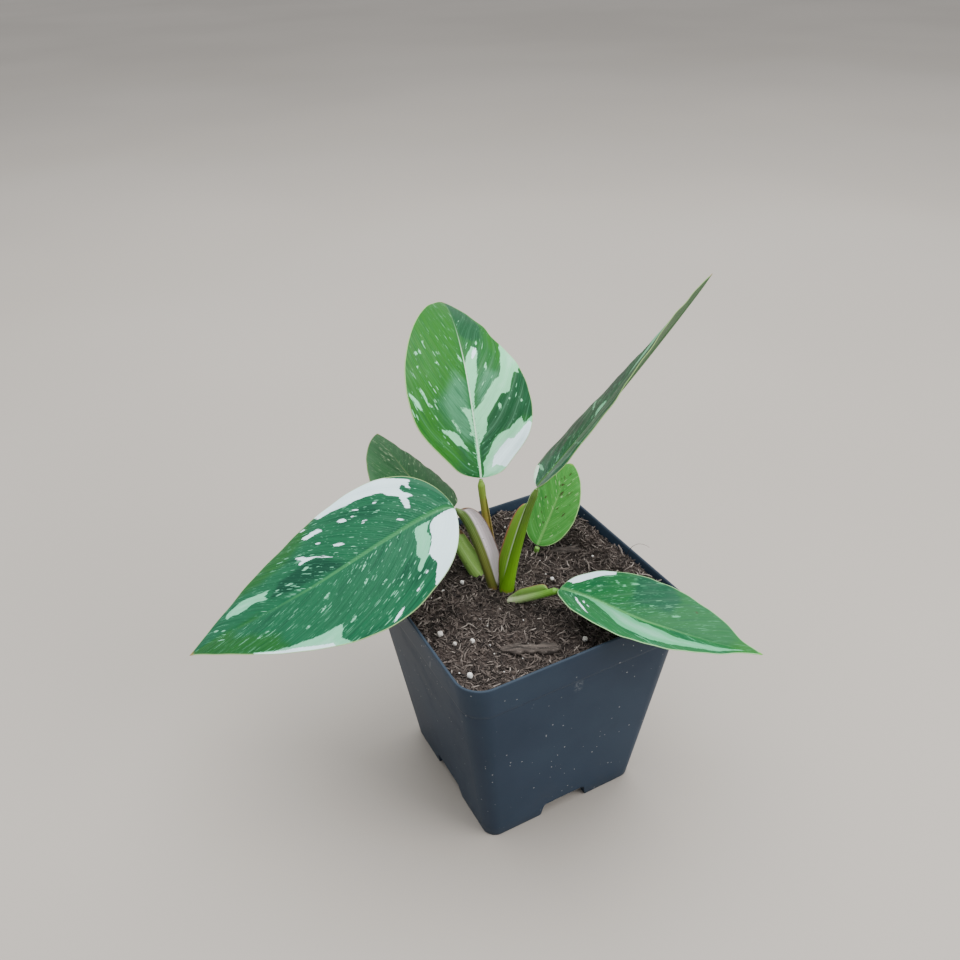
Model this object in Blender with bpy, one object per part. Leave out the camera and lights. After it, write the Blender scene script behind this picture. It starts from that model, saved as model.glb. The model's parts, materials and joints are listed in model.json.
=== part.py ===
"""Potted variegated philodendron in a square nursery pot.

Units are metres and +Z is up. The pot's four sides run along X and Y, and its
feet stand on Z = 0. The plant is laid out from its crown, the point where its
leaf stalks come out of the soil, so a deeper or wider pot carries it along.
"""

import math
from dataclasses import dataclass

import bmesh
import bpy
from mathutils import Vector

FIT_GAP = 0.0003  # clear space between pieces that touch

# Pot: a moulded square pot, hollow down into its four feet.
POT_TOP_WIDTH = 0.100
POT_BASE_WIDTH = 0.072
POT_HEIGHT = 0.100
POT_WALL = 0.0012
TOP_CORNER_RADIUS = 0.0103
BASE_CORNER_RADIUS = 0.0059
RIM_BAND_HEIGHT = 0.0155
RIM_BAND_STEP = 0.0004
RIM_EDGE_ROUNDING = 0.0004
DRAIN_NOTCH_HEIGHT = 0.007
DRAIN_NOTCH_BASE_WIDTH = 0.0225
DRAIN_NOTCH_TOP_WIDTH = 0.0200
DRAIN_HOLE_RADIUS = 0.0040
DRAIN_HOLE_SPACING = 0.0210  # from the middle hole to each of the four outer holes
CORNER_SEGMENTS = 5

# Soil: how far its top lies below the rim, and how uneven it is.
SOIL_BELOW_RIM = 0.0062
SOIL_BACK_DIP = 0.0030
SOIL_LUMP = 0.0005
SOIL_RINGS = 9
SOIL_SIDE_STEPS = 8

# Plant: the crown's place in the pot, and the pieces' common sizes.
CROWN_X = -0.0065
CROWN_Y = 0.0075
CROWN_RADIUS = 0.0050
CROWN_DEPTH = 0.0140
STALK_BURIED = 0.0045
LEAF_THICKNESS = 0.0008
SHEATH_THICKNESS = 0.0009
BLADE_ROWS = 16
BLADE_COLUMNS = 8
MIDRIB_STEPS = 64
STALK_RINGS = 18
SECTION_SIDES = 12
FOOT_PULL = 0.33  # how far a stalk keeps its first direction, a share of its span
NECK_PULL = 0.16  # how early it takes its last one
STALK_TIP_RADIUS = 0.0006
LEAF_ROUGHNESS = 0.38
STALK_ROUGHNESS = 0.45
LOW_LEAF_ABOVE_RIM = 0.0060


@dataclass(frozen=True)
class Stalk:
    """A leaf stalk: a round stem with a thin sheath along its lower part.

    Angles are in degrees: a heading is measured from +X towards +Y, and a
    climb is measured up from level. The sheath starts from nothing at the soil
    and ends bluntly.
    """

    foot: tuple  # where it comes out of the soil, across from the crown
    top: tuple  # where it meets its blade, from the crown
    leaves_soil: tuple  # heading and climb at the soil
    meets_blade: tuple  # heading and climb at the blade
    foot_radius: float
    neck_radius: float
    colour: tuple
    buried: float = STALK_BURIED
    sheath_width: float = 0.0
    sheath_end: float = 0.0  # the part of the stalk's length that the sheath covers
    sheath_toward: tuple = (0, 0)  # heading and climb that the sheath points to


@dataclass(frozen=True)
class Blade:
    """A leaf blade: the run of its midrib, and how its halves spread from it.

    Pairs give a value at the base and at the tip. Fold lifts both halves into
    a valley, and curl bends them down again towards the margins.
    """

    length: float
    width: float
    heading: tuple
    climb: tuple
    climb_power: float
    roll: tuple
    fold: float
    curl: float
    base_fullness: float
    tip_fullness: float
    colour: tuple
    heart: float = 0.03  # how far the base lobes reach back, a share of the length
    lean: float = 0.0  # how much wider the right half is than the mean


LOW_LEAF_TOP_HEIGHT = SOIL_BELOW_RIM + LOW_LEAF_ABOVE_RIM

LEAVES = {
    "left_leaf": (
        Stalk(foot=(-0.0024, -0.0006), top=(-0.0170, -0.0003, 0.0427),
              leaves_soil=(185, 72), meets_blade=(172, 44),
              foot_radius=0.0016, neck_radius=0.0014,
              sheath_width=0.0060, sheath_end=0.95, sheath_toward=(-31, 17),
              colour=(0.300, 0.290, 0.110)),
        Blade(length=0.121, width=0.061, heading=(167, 156), climb=(-19, -33),
              climb_power=0.8, roll=(-35, -10), fold=6, curl=-26,
              base_fullness=0.59, tip_fullness=1.11, heart=0.01,
              colour=(0.055, 0.230, 0.140)),
    ),
    "centre_leaf": (
        Stalk(foot=(0.0030, 0.0050), top=(-0.0008, 0.0098, 0.0453),
              leaves_soil=(110, 74), meets_blade=(80, 84),
              foot_radius=0.0019, neck_radius=0.0015,
              sheath_width=0.0008, sheath_end=0.80, sheath_toward=(-60, 0),
              colour=(0.330, 0.400, 0.090)),
        Blade(length=0.101, width=0.0545, heading=(69, 75), climb=(46, -11),
              climb_power=1.5, roll=(14, 25), fold=6, curl=-10,
              base_fullness=0.61, tip_fullness=1.07, heart=0.05,
              colour=(0.110, 0.330, 0.100)),
    ),
    "tall_leaf": (
        Stalk(foot=(0.0019, -0.0052), top=(0.0097, -0.0150, 0.0512),
              leaves_soil=(-60, 80), meets_blade=(-45, 68),
              foot_radius=0.0024, neck_radius=0.0014,
              sheath_width=0.0044, sheath_end=0.80, sheath_toward=(153, 12),
              colour=(0.210, 0.330, 0.020)),
        Blade(length=0.1035, width=0.0485, heading=(-2, 12), climb=(42.5, 35.5),
              climb_power=0.9, roll=(-30, -55), fold=13, curl=-17,
              base_fullness=0.51, tip_fullness=1.10, heart=0.04,
              colour=(0.030, 0.110, 0.060)),
    ),
    "low_leaf": (
        Stalk(foot=(0.0014, -0.0136), top=(0.0109, -0.0288, LOW_LEAF_TOP_HEIGHT),
              leaves_soil=(-58, 30), meets_blade=(-58, 36), buried=0.0030,
              foot_radius=0.0014, neck_radius=0.0014,
              sheath_width=0.0028, sheath_end=0.76, sheath_toward=(74, 50),
              colour=(0.240, 0.340, 0.070)),
        Blade(length=0.0775, width=0.036, heading=(-59, -46), climb=(-5, -3.5),
              climb_power=0.8, roll=(-4, 8), fold=20, curl=-13,
              base_fullness=0.63, tip_fullness=1.08, heart=0.05, lean=-0.11,
              colour=(0.070, 0.250, 0.090)),
    ),
    "back_leaf": (
        Stalk(foot=(-0.0047, 0.0098), top=(-0.0119, 0.0226, 0.0240),
              leaves_soil=(155, 58), meets_blade=(90, 52),
              foot_radius=0.0025, neck_radius=0.0016,
              sheath_width=0.0034, sheath_end=0.75, sheath_toward=(0, 35),
              colour=(0.250, 0.360, 0.120)),
        Blade(length=0.053, width=0.040, heading=(110, 86), climb=(26, 5),
              climb_power=1.6, roll=(11, 32), fold=4, curl=-24,
              base_fullness=0.52, tip_fullness=1.02,
              colour=(0.085, 0.135, 0.060)),
    ),
    "old_leaf": (
        Stalk(foot=(0.0256, 0.0114), top=(0.0255, 0.0100, 0.0028),
              leaves_soil=(-85, 78), meets_blade=(20, 70),
              foot_radius=0.0011, neck_radius=0.0011,
              colour=(0.200, 0.320, 0.090)),
        Blade(length=0.038, width=0.0232, heading=(26, 25), climb=(45, 48),
              climb_power=1.0, roll=(0, 0), fold=2, curl=1,
              base_fullness=0.52, tip_fullness=0.66, heart=0.0,
              colour=(0.160, 0.300, 0.050)),
    ),
}

# Loose pieces on the soil: place in the pot and size.
PERLITE_GRAINS = (
    (-0.0410, -0.0104, 0.0014),
    (-0.0324, -0.0199, 0.0012),
    (-0.0386, -0.0177, 0.0010),
    (-0.0412, -0.0350, 0.0013),
    (-0.0191, 0.0140, 0.0010),
    (0.0144, -0.0016, 0.0010),
    (0.0050, -0.0400, 0.0012),
    (0.0190, 0.0420, 0.0012),
    (0.0258, 0.0410, 0.0010),
)
# Place, length, width, thickness and heading.
BARK_CHIPS = (
    (-0.0150, -0.0340, 0.0230, 0.0052, 0.0014, -28),
    (0.0330, 0.0130, 0.0190, 0.0046, 0.0013, -20),
    (0.0330, -0.0080, 0.0120, 0.0038, 0.0012, 35),
)


# ---------------------------------------------------------------- helpers

def clear_scene():
    """Remove whatever the file holds."""
    for item in list(bpy.data.objects):
        bpy.data.objects.remove(item, do_unlink=True)


def make_material(name, colour, roughness):
    """Return a plain Principled material."""
    material = bpy.data.materials.new(name)
    material.use_nodes = True
    shader = material.node_tree.nodes["Principled BSDF"]
    shader.inputs["Base Color"].default_value = (*colour, 1.0)
    shader.inputs["Roughness"].default_value = roughness
    shader.inputs["Metallic"].default_value = 0.0
    material.diffuse_color = (*colour, 1.0)
    return material


def make_object(name, mesh_builder, material, parent=None, smooth_angle=35):
    """Turn a bmesh into a named object with outward faces."""
    bmesh.ops.recalc_face_normals(mesh_builder, faces=mesh_builder.faces)
    mesh = bpy.data.meshes.new(name)
    mesh_builder.to_mesh(mesh)
    mesh_builder.free()
    mesh.shade_smooth()
    mesh.set_sharp_from_angle(angle=math.radians(smooth_angle))
    item = bpy.data.objects.new(name, mesh)
    bpy.context.collection.objects.link(item)
    if material is not None:
        mesh.materials.append(material)
    item.parent = parent
    return item


def add_boolean(target, cutter, operation):
    """Join a cutter to a target with an exact Boolean, and hide the cutter."""
    cutter.hide_render = True
    cutter.display_type = "WIRE"
    modifier = target.modifiers.new(operation.title(), "BOOLEAN")
    modifier.operation = operation
    modifier.solver = "EXACT"
    modifier.object = cutter


def lerp(start, end, share):
    """Blend two numbers."""
    return start + (end - start) * share


def direction(heading, climb):
    """Return the unit vector of a heading and a climb, both in degrees."""
    turn = math.radians(heading)
    rise = math.radians(climb)
    level = math.cos(rise)
    return Vector((level * math.cos(turn), level * math.sin(turn), math.sin(rise)))


def loft(mesh_builder, rings):
    """Skin a stack of equal rings, and close its first and last ring."""
    loops = [[mesh_builder.verts.new(point) for point in ring] for ring in rings]
    count = len(loops[0])
    for lower, upper in zip(loops, loops[1:]):
        for index in range(count):
            following = (index + 1) % count
            mesh_builder.faces.new(
                (lower[index], lower[following], upper[following], upper[index]))
    mesh_builder.faces.new(loops[0])
    mesh_builder.faces.new(loops[-1])


# -------------------------------------------------------------------- pot

def rounded_square(half, radius, height, centre=(0.0, 0.0), side_steps=1):
    """Return the points of a level square with rounded corners."""
    points = []
    for corner in range(4):
        for step in range(CORNER_SEGMENTS + 1):
            angle = math.radians(90 * corner + 90 * step / CORNER_SEGMENTS)
            side_x = 1 if corner in (0, 3) else -1
            side_y = 1 if corner in (0, 1) else -1
            points.append(Vector((
                centre[0] + side_x * (half - radius) + radius * math.cos(angle),
                centre[1] + side_y * (half - radius) + radius * math.sin(angle),
                height)))
    if side_steps == 1:
        return points
    filled = []
    for point, following in zip(points, points[1:] + points[:1]):
        steps = side_steps if (following - point).length > radius else 1
        filled += [point.lerp(following, step / steps) for step in range(steps)]
    return filled


def pot_ring(height, inset, side_steps=1):
    """Return the pot's outline at a height, moved in from its body's face."""
    share = height / POT_HEIGHT
    body_top = POT_TOP_WIDTH / 2 - RIM_BAND_STEP
    half = lerp(POT_BASE_WIDTH / 2, body_top, share) - inset
    radius = lerp(BASE_CORNER_RADIUS, TOP_CORNER_RADIUS, share) - inset
    return rounded_square(half, radius, height, side_steps=side_steps)


def build_trapezoid_channel(name, along_x, parent):
    """Return a cutter for the drain channel that crosses under the pot."""
    reach = POT_BASE_WIDTH
    low = DRAIN_NOTCH_BASE_WIDTH / 2
    high = DRAIN_NOTCH_TOP_WIDTH / 2
    below = -DRAIN_NOTCH_HEIGHT
    flare = low + (low - high)
    outline = ((-flare, below), (flare, below),
               (high, DRAIN_NOTCH_HEIGHT), (-high, DRAIN_NOTCH_HEIGHT))
    rings = []
    for end in (-reach, reach):
        if along_x:
            rings.append([Vector((end, across, up)) for across, up in outline])
        else:
            rings.append([Vector((across, end, up)) for across, up in outline])
    mesh_builder = bmesh.new()
    loft(mesh_builder, rings)
    return make_object(name, mesh_builder, None, parent)


def toe_centres():
    """Return the four foot centres and the half width of a foot's hollow."""
    inner = DRAIN_NOTCH_BASE_WIDTH / 2 + POT_WALL
    outer = POT_BASE_WIDTH / 2 - POT_WALL
    middle = (inner + outer) / 2
    return [(x, y) for x in (-middle, middle) for y in (-middle, middle)], (outer - inner) / 2


def add_toes(target, shrink, operation, prefix, parent):
    """Cut the hollows of the four feet, or add the soil that fills them."""
    centres, half = toe_centres()
    floor_top = DRAIN_NOTCH_HEIGHT + POT_WALL
    for index, centre in enumerate(centres, start=1):
        radius = BASE_CORNER_RADIUS - POT_WALL - shrink
        rings = [rounded_square(half - shrink, radius, height, centre)
                 for height in (POT_WALL + shrink, floor_top + 2 * POT_WALL)]
        mesh_builder = bmesh.new()
        loft(mesh_builder, rings)
        cutter = make_object(f"{prefix}_{index}", mesh_builder, None, parent)
        add_boolean(target, cutter, operation)


def add_drain_holes(pot, parent):
    """Drill the five holes that let water out through the floor."""
    spots = [(0.0, 0.0)]
    for quarter in range(4):
        turn = math.radians(90 * quarter)
        spots.append((DRAIN_HOLE_SPACING * math.cos(turn), DRAIN_HOLE_SPACING * math.sin(turn)))
    mesh_builder = bmesh.new()
    for spot_x, spot_y in spots:
        made = bmesh.ops.create_cone(
            mesh_builder, cap_ends=True, segments=16, radius1=DRAIN_HOLE_RADIUS,
            radius2=DRAIN_HOLE_RADIUS, depth=4 * POT_WALL)
        offset = Vector((spot_x, spot_y, DRAIN_NOTCH_HEIGHT + POT_WALL / 2))
        bmesh.ops.translate(mesh_builder, verts=made["verts"], vec=offset)
    cutter = make_object("drain_hole_cutter", mesh_builder, None, parent)
    add_boolean(pot, cutter, "DIFFERENCE")


def build_pot(parent):
    """Model the pot: tapered walls, a rim band, four feet and drain holes."""
    band = POT_HEIGHT - RIM_BAND_HEIGHT
    edge = POT_HEIGHT - RIM_EDGE_ROUNDING
    floor_top = DRAIN_NOTCH_HEIGHT + POT_WALL
    rings = [
        pot_ring(0.0, 0.0),
        pot_ring(band - RIM_BAND_STEP, 0.0),
        pot_ring(band, -RIM_BAND_STEP),
        pot_ring(edge, -RIM_BAND_STEP),
        pot_ring(POT_HEIGHT, RIM_EDGE_ROUNDING - RIM_BAND_STEP),
        pot_ring(POT_HEIGHT, POT_WALL - RIM_EDGE_ROUNDING),
        pot_ring(edge, POT_WALL),
        pot_ring(floor_top, POT_WALL),
    ]
    mesh_builder = bmesh.new()
    loft(mesh_builder, rings)
    plastic = make_material("pot_plastic", (0.020, 0.026, 0.032), 0.42)
    pot = make_object("pot", mesh_builder, plastic, parent)
    add_toes(pot, 0.0, "DIFFERENCE", "foot_hollow_cutter", parent)
    for name, along_x in (("drain_cutter_x", True), ("drain_cutter_y", False)):
        add_boolean(pot, build_trapezoid_channel(name, along_x, parent), "DIFFERENCE")
    add_drain_holes(pot, parent)
    return pot


# ------------------------------------------------------------------- soil

def soil_height(x, y):
    """Return the height of the soil's top: it dips to the back right, with lumps."""
    half = POT_TOP_WIDTH / 2
    to_back = min(1.0, max(0.0, (x + y) / (2 * half) + 0.35))
    lumps = math.sin(230 * x + 1.0) * math.cos(190 * y) + 0.5 * math.sin(280 * y - 230 * x)
    return POT_HEIGHT - SOIL_BELOW_RIM - SOIL_BACK_DIP * to_back ** 2 + SOIL_LUMP * lumps


def build_soil(parent):
    """Model the soil plug, which fills the pot and the hollows of its feet."""
    inset = POT_WALL + FIT_GAP
    shoulder = POT_HEIGHT - SOIL_BELOW_RIM - SOIL_BACK_DIP - 3 * SOIL_LUMP
    rings = [
        pot_ring(DRAIN_NOTCH_HEIGHT + POT_WALL + FIT_GAP, inset, SOIL_SIDE_STEPS),
        pot_ring(shoulder, inset, SOIL_SIDE_STEPS),
    ]
    edge = pot_ring(shoulder, inset, SOIL_SIDE_STEPS)
    for step in range(SOIL_RINGS):
        reach = 1.0 - step / SOIL_RINGS
        ring = []
        for point in edge:
            x = point.x * reach
            y = point.y * reach
            ring.append(Vector((x, y, soil_height(x, y))))
        rings.append(ring)
    mesh_builder = bmesh.new()
    loft(mesh_builder, rings)
    earth = make_material("potting_soil", (0.060, 0.040, 0.030), 0.95)
    soil = make_object("soil", mesh_builder, earth, parent)
    add_toes(soil, FIT_GAP, "UNION", "soil_toe", parent)
    return soil


def crown_point():
    """Return the point on the soil that the plant is laid out from."""
    return Vector((CROWN_X, CROWN_Y, POT_HEIGHT - SOIL_BELOW_RIM))


def build_stem_crown(soil, parent):
    """Model the buried stem that the stalks grow from, and its hollow in the soil."""
    centre = crown_point()
    top = centre.z - STALK_BURIED - FIT_GAP

    def tapered(mesh_builder, grow):
        made = bmesh.ops.create_cone(
            mesh_builder, cap_ends=True, segments=20, radius1=0.7 * CROWN_RADIUS + grow,
            radius2=CROWN_RADIUS + grow, depth=CROWN_DEPTH + 2 * grow)
        middle = Vector((centre.x, centre.y, top - CROWN_DEPTH / 2))
        bmesh.ops.translate(mesh_builder, verts=made["verts"], vec=middle)
        return mesh_builder

    bark = make_material("crown_tissue", (0.20, 0.19, 0.07), 0.7)
    crown = make_object("stem_crown", tapered(bmesh.new(), 0.0), bark, parent)
    hollow = make_object("crown_cutter", tapered(bmesh.new(), FIT_GAP), None, parent)
    add_boolean(soil, hollow, "DIFFERENCE")
    return crown


# ------------------------------------------------------------------ stalks

def stalk_curve(stalk):
    """Return a function that gives a stalk's point and tangent at a share of its length."""
    crown = crown_point()
    out = direction(*stalk.leaves_soil)
    into = direction(*stalk.meets_blade)
    start = crown + Vector((*stalk.foot, 0.0)) - out * (stalk.buried / out.z)
    end = crown + Vector(stalk.top)
    span = (end - start).length
    knots = (start, start + out * span * FOOT_PULL, end - into * span * NECK_PULL, end)

    def at(share):
        rest = 1.0 - share
        weights = (rest ** 3, 3 * rest ** 2 * share, 3 * rest * share ** 2, share ** 3)
        point = sum((knot * weight for knot, weight in zip(knots, weights)), Vector())
        slope = ((knots[1] - knots[0]) * rest ** 2 + (knots[2] - knots[1]) * 2 * rest * share
                 + (knots[3] - knots[2]) * share ** 2)
        return point, slope.normalized()

    return at


def stalk_section(radius, sheath, thickness):
    """Return a round section with a thin tail, the sheath, towards its own +X."""
    half = thickness / 2
    root = math.asin(min(0.8, half / radius))
    angles = [lerp(root, math.tau - root, step / SECTION_SIDES)
              for step in range(SECTION_SIDES + 1)]
    ring = [(radius * math.cos(angle), radius * math.sin(angle)) for angle in angles]
    tip = radius * math.cos(root) + sheath + 0.08 * radius
    return [(tip, -0.8 * half), (tip, 0.8 * half)] + ring


def sheath_share(along):
    """Return how much of its full width the sheath has at a share of its length."""
    if along >= 1.0:
        return 0.0
    rise = min(1.0, along / 0.45)
    return rise * rise * (3 - 2 * rise) * math.sqrt(1 - along ** 8)


def level_the_foot(ring, point, tangent, limit):
    """Return how far each point of a first ring slides to end the stalk level."""
    return [min(limit, max(-limit, (point.z - spot.z) / tangent.z)) for spot in ring]


def stalk_rings(stalk, grow=0.0, last=STALK_RINGS):
    """Return the rings of a stalk, or of the larger form that cuts its hole."""
    at = stalk_curve(stalk)
    towards = direction(*stalk.sheath_toward)
    ring_gap = (at(1 / STALK_RINGS)[0] - at(0)[0]).length
    rings = []
    for step in range(last + 1):
        share = step / STALK_RINGS
        point, tangent = at(share)
        out = (towards - tangent * towards.dot(tangent)).normalized()
        flank = tangent.cross(out)
        radius = lerp(stalk.foot_radius, stalk.neck_radius, min(1.0, share / 0.7))
        if step == STALK_RINGS:
            radius = STALK_TIP_RADIUS
        sheath = 0.0
        if stalk.sheath_end > 0.0:
            sheath = stalk.sheath_width * sheath_share(share / stalk.sheath_end)
        true_form, grown = (
            [point + out * x + flank * y
             for x, y in stalk_section(radius + more, sheath, SHEATH_THICKNESS + 2 * more)]
            for more in (0.0, grow))
        if step == 0:
            slides = level_the_foot(true_form, point, tangent, 0.8 * ring_gap)
            grown = [spot + tangent * (slide - 2 * grow) for spot, slide in zip(grown, slides)]
        rings.append(grown)
    return rings


def ring_clear_of_soil(stalk):
    """Return the first ring of a stalk that is well clear of the soil."""
    at = stalk_curve(stalk)
    for step in range(STALK_RINGS):
        point, _ = at(step / STALK_RINGS)
        if point.z > soil_height(point.x, point.y) + 3 * stalk.foot_radius:
            return step
    return STALK_RINGS


def build_stalk(name, stalk, soil, parent):
    """Model one stalk, and cut the hole that it stands in."""
    material = make_material(name, stalk.colour, STALK_ROUGHNESS)
    mesh_builder = bmesh.new()
    loft(mesh_builder, stalk_rings(stalk))
    piece = make_object(name, mesh_builder, material, parent)
    mesh_builder = bmesh.new()
    loft(mesh_builder, stalk_rings(stalk, FIT_GAP, ring_clear_of_soil(stalk)))
    cutter = make_object(f"{name}_cutter", mesh_builder, None, parent)
    add_boolean(soil, cutter, "DIFFERENCE")
    return piece


# ------------------------------------------------------------------ blades

def blade_half_width(blade, share):
    """Return half the blade's width at a share of its length."""
    base = blade.base_fullness
    tip = blade.tip_fullness
    widest = base / (base + tip)
    full = widest ** base * (1 - widest) ** tip
    return blade.width / 2 * share ** base * (1 - share) ** tip / full


def blade_frames(blade, base):
    """Walk along the midrib: return each point with its tangent, side and normal."""
    frames = []
    point = base.copy()
    for step in range(MIDRIB_STEPS + 1):
        share = step / MIDRIB_STEPS
        heading = lerp(*blade.heading, share)
        climb = lerp(*blade.climb, share ** blade.climb_power)
        roll = math.radians(lerp(*blade.roll, share))
        tangent = direction(heading, climb)
        level_side = -direction(heading + 90, 0)
        up = level_side.cross(tangent)
        side = level_side * math.cos(roll) - up * math.sin(roll)
        normal = up * math.cos(roll) + level_side * math.sin(roll)
        frames.append((point.copy(), tangent, side, normal))
        point += tangent * blade.length / MIDRIB_STEPS
    return frames


def blade_point(blade, frames, share, across):
    """Return a point of the sheet: share runs base to tip, across from -1 to 1."""
    reach = abs(across)
    swept = math.sin(math.pi * min(1.0, share / 0.3)) * (1 - share)
    station = share - blade.heart * swept * reach
    place = min(max(station, 0.0), 1.0) * MIDRIB_STEPS
    index = min(int(place), MIDRIB_STEPS - 1)
    near, far = frames[index], frames[index + 1]
    point, tangent, side, normal = (a.lerp(b, place - index) for a, b in zip(near, far))
    point = point + tangent * (station - place / MIDRIB_STEPS) * blade.length
    half = blade_half_width(blade, share) * (1 + blade.lean * (1 if across > 0 else -1))
    fold = math.radians(blade.fold)
    bend = math.radians(blade.curl) / (blade.width / 2)
    distance = reach * half
    out = (math.sin(fold + bend * distance) - math.sin(fold)) / bend
    up = (math.cos(fold) - math.cos(fold + bend * distance)) / bend
    return point + side * math.copysign(out, across) + normal * up


def build_blade(name, stalk, blade, parent):
    """Model one blade as a thin curved sheet."""
    material = make_material(name, blade.colour, LEAF_ROUGHNESS)
    end, arrival = stalk_curve(stalk)(1.0)
    base = end + arrival * (LEAF_THICKNESS / 2 + FIT_GAP)
    frames = blade_frames(blade, base)
    mesh_builder = bmesh.new()
    rows = []
    for row in range(1, BLADE_ROWS):
        share = (1 - math.cos(math.pi * row / BLADE_ROWS)) / 2
        rows.append([
            mesh_builder.verts.new(
                blade_point(blade, frames, share, 2 * column / BLADE_COLUMNS - 1))
            for column in range(BLADE_COLUMNS + 1)])
    first = mesh_builder.verts.new(frames[0][0])
    last = mesh_builder.verts.new(frames[-1][0])
    for near, far in zip(rows, rows[1:]):
        for column in range(BLADE_COLUMNS):
            mesh_builder.faces.new((near[column], near[column + 1], far[column + 1], far[column]))
    for column in range(BLADE_COLUMNS):
        mesh_builder.faces.new((first, rows[0][column + 1], rows[0][column]))
        mesh_builder.faces.new((last, rows[-1][column], rows[-1][column + 1]))
    piece = make_object(name, mesh_builder, material, parent, smooth_angle=60)
    skin = piece.modifiers.new("Thickness", "SOLIDIFY")
    skin.thickness = LEAF_THICKNESS
    skin.offset = 0.0
    return piece


# ------------------------------------------------------------ loose pieces

def resting_height(x, y, length, width, heading):
    """Return the soil's highest point under a piece of that length and width."""
    along = direction(heading, 0)
    return max(
        soil_height(x + along.x * length * u - along.y * width * v,
                    y + along.y * length * u + along.x * width * v)
        for u in (-0.5, -0.25, 0, 0.25, 0.5) for v in (-0.5, 0, 0.5))


def build_perlite(index, place, material, parent):
    """Model one perlite grain as a small uneven pebble."""
    x, y, radius = place
    mesh_builder = bmesh.new()
    bmesh.ops.create_icosphere(mesh_builder, subdivisions=2, radius=radius)
    for vertex in mesh_builder.verts:
        wave = math.sin(2300 * vertex.co.x + index) + math.cos(1900 * vertex.co.y + 2 * index)
        vertex.co *= 1 - 0.08 * (1 + wave / 2)
    piece = make_object(f"perlite_grain_{index}", mesh_builder, material, parent, 180)
    ground = resting_height(x, y, 0.5 * radius, 0.5 * radius, 0)
    piece.location = (x, y, ground + 0.95 * radius + FIT_GAP)
    return piece


def build_bark_chip(index, place, material, parent):
    """Model one flat chip of bark with worn ends."""
    x, y, length, width, thickness, heading = place
    outline = ((-0.50, -0.15), (-0.38, -0.50), (0.20, -0.46), (0.44, -0.28),
               (0.50, 0.12), (0.30, 0.44), (-0.25, 0.50), (-0.46, 0.30))
    rings = []
    for level, size in ((-0.5, 0.9), (0.1, 1.0), (0.5, 0.86)):
        rings.append([Vector((length * px * size, width * py * size, thickness * level))
                      for px, py in outline])
    mesh_builder = bmesh.new()
    loft(mesh_builder, rings)
    piece = make_object(f"bark_chip_{index}", mesh_builder, material, parent)
    ground = resting_height(x, y, length, width, heading)
    piece.location = (x, y, ground + thickness / 2 + FIT_GAP)
    piece.rotation_euler.z = math.radians(heading)
    return piece


# ----------------------------------------------------------------- assembly

def stand_on_origin(frame, pieces):
    """Move everything so that the origin is the middle of its box's underside."""
    bpy.context.view_layer.update()
    graph = bpy.context.evaluated_depsgraph_get()
    lows = [math.inf] * 3
    highs = [-math.inf] * 3
    for piece in pieces:
        shape = piece.evaluated_get(graph)
        for vertex in shape.data.vertices:
            spot = shape.matrix_world @ vertex.co
            for axis in range(3):
                lows[axis] = min(lows[axis], spot[axis])
                highs[axis] = max(highs[axis], spot[axis])
    frame.location = (-(lows[0] + highs[0]) / 2, -(lows[1] + highs[1]) / 2, -lows[2])


def main():
    """Build the pot, the soil and the plant."""
    clear_scene()
    frame = bpy.data.objects.new("plant_frame", None)
    bpy.context.collection.objects.link(frame)
    soil = build_soil(frame)
    pieces = [build_pot(frame), soil, build_stem_crown(soil, frame)]
    for name, (stalk, blade) in LEAVES.items():
        pieces.append(build_stalk(f"{name}_stalk", stalk, soil, frame))
        pieces.append(build_blade(f"{name}_blade", stalk, blade, frame))
    white = make_material("perlite", (0.78, 0.76, 0.72), 0.9)
    for index, place in enumerate(PERLITE_GRAINS, start=1):
        pieces.append(build_perlite(index, place, white, frame))
    brown = make_material("bark", (0.150, 0.100, 0.075), 0.9)
    for index, place in enumerate(BARK_CHIPS, start=1):
        pieces.append(build_bark_chip(index, place, brown, frame))
    stand_on_origin(frame, pieces)


main()
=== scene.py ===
"""Looks of a potted variegated philodendron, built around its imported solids.

The plant's blades, stalks, soil and pot are modelled again in fine detail where
the solids lie. Units are metres and +Z is up. The plant is laid out from its
crown, as its solids are.
"""

from __future__ import annotations

import json
import logging
import math
from dataclasses import dataclass, replace
from enum import Enum
from typing import Any, Callable, Iterable

import bmesh
import bpy
import numpy as np
from mathutils import Matrix, Vector

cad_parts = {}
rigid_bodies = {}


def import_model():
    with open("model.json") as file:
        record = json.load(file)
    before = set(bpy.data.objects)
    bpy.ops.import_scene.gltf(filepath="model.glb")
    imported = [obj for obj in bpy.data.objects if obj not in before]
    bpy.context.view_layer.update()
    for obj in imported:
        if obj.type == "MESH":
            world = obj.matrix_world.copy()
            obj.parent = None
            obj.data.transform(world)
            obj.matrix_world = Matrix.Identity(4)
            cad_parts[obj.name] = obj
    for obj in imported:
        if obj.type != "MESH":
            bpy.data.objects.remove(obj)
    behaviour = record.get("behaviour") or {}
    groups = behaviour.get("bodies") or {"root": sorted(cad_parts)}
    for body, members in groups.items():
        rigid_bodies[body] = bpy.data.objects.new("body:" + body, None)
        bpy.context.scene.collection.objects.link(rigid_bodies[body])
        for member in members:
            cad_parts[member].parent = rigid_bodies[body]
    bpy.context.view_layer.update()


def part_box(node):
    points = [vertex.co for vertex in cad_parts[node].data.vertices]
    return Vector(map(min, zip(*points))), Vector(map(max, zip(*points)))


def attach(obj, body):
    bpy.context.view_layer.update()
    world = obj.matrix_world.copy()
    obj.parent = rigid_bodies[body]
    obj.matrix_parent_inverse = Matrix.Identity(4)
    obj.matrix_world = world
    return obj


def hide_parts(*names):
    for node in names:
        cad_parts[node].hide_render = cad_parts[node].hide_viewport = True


LOG = logging.getLogger("philodendron")
MM = 0.001
FIT_GAP = 0.0003  # between the crown and the foot of a stalk
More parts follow.
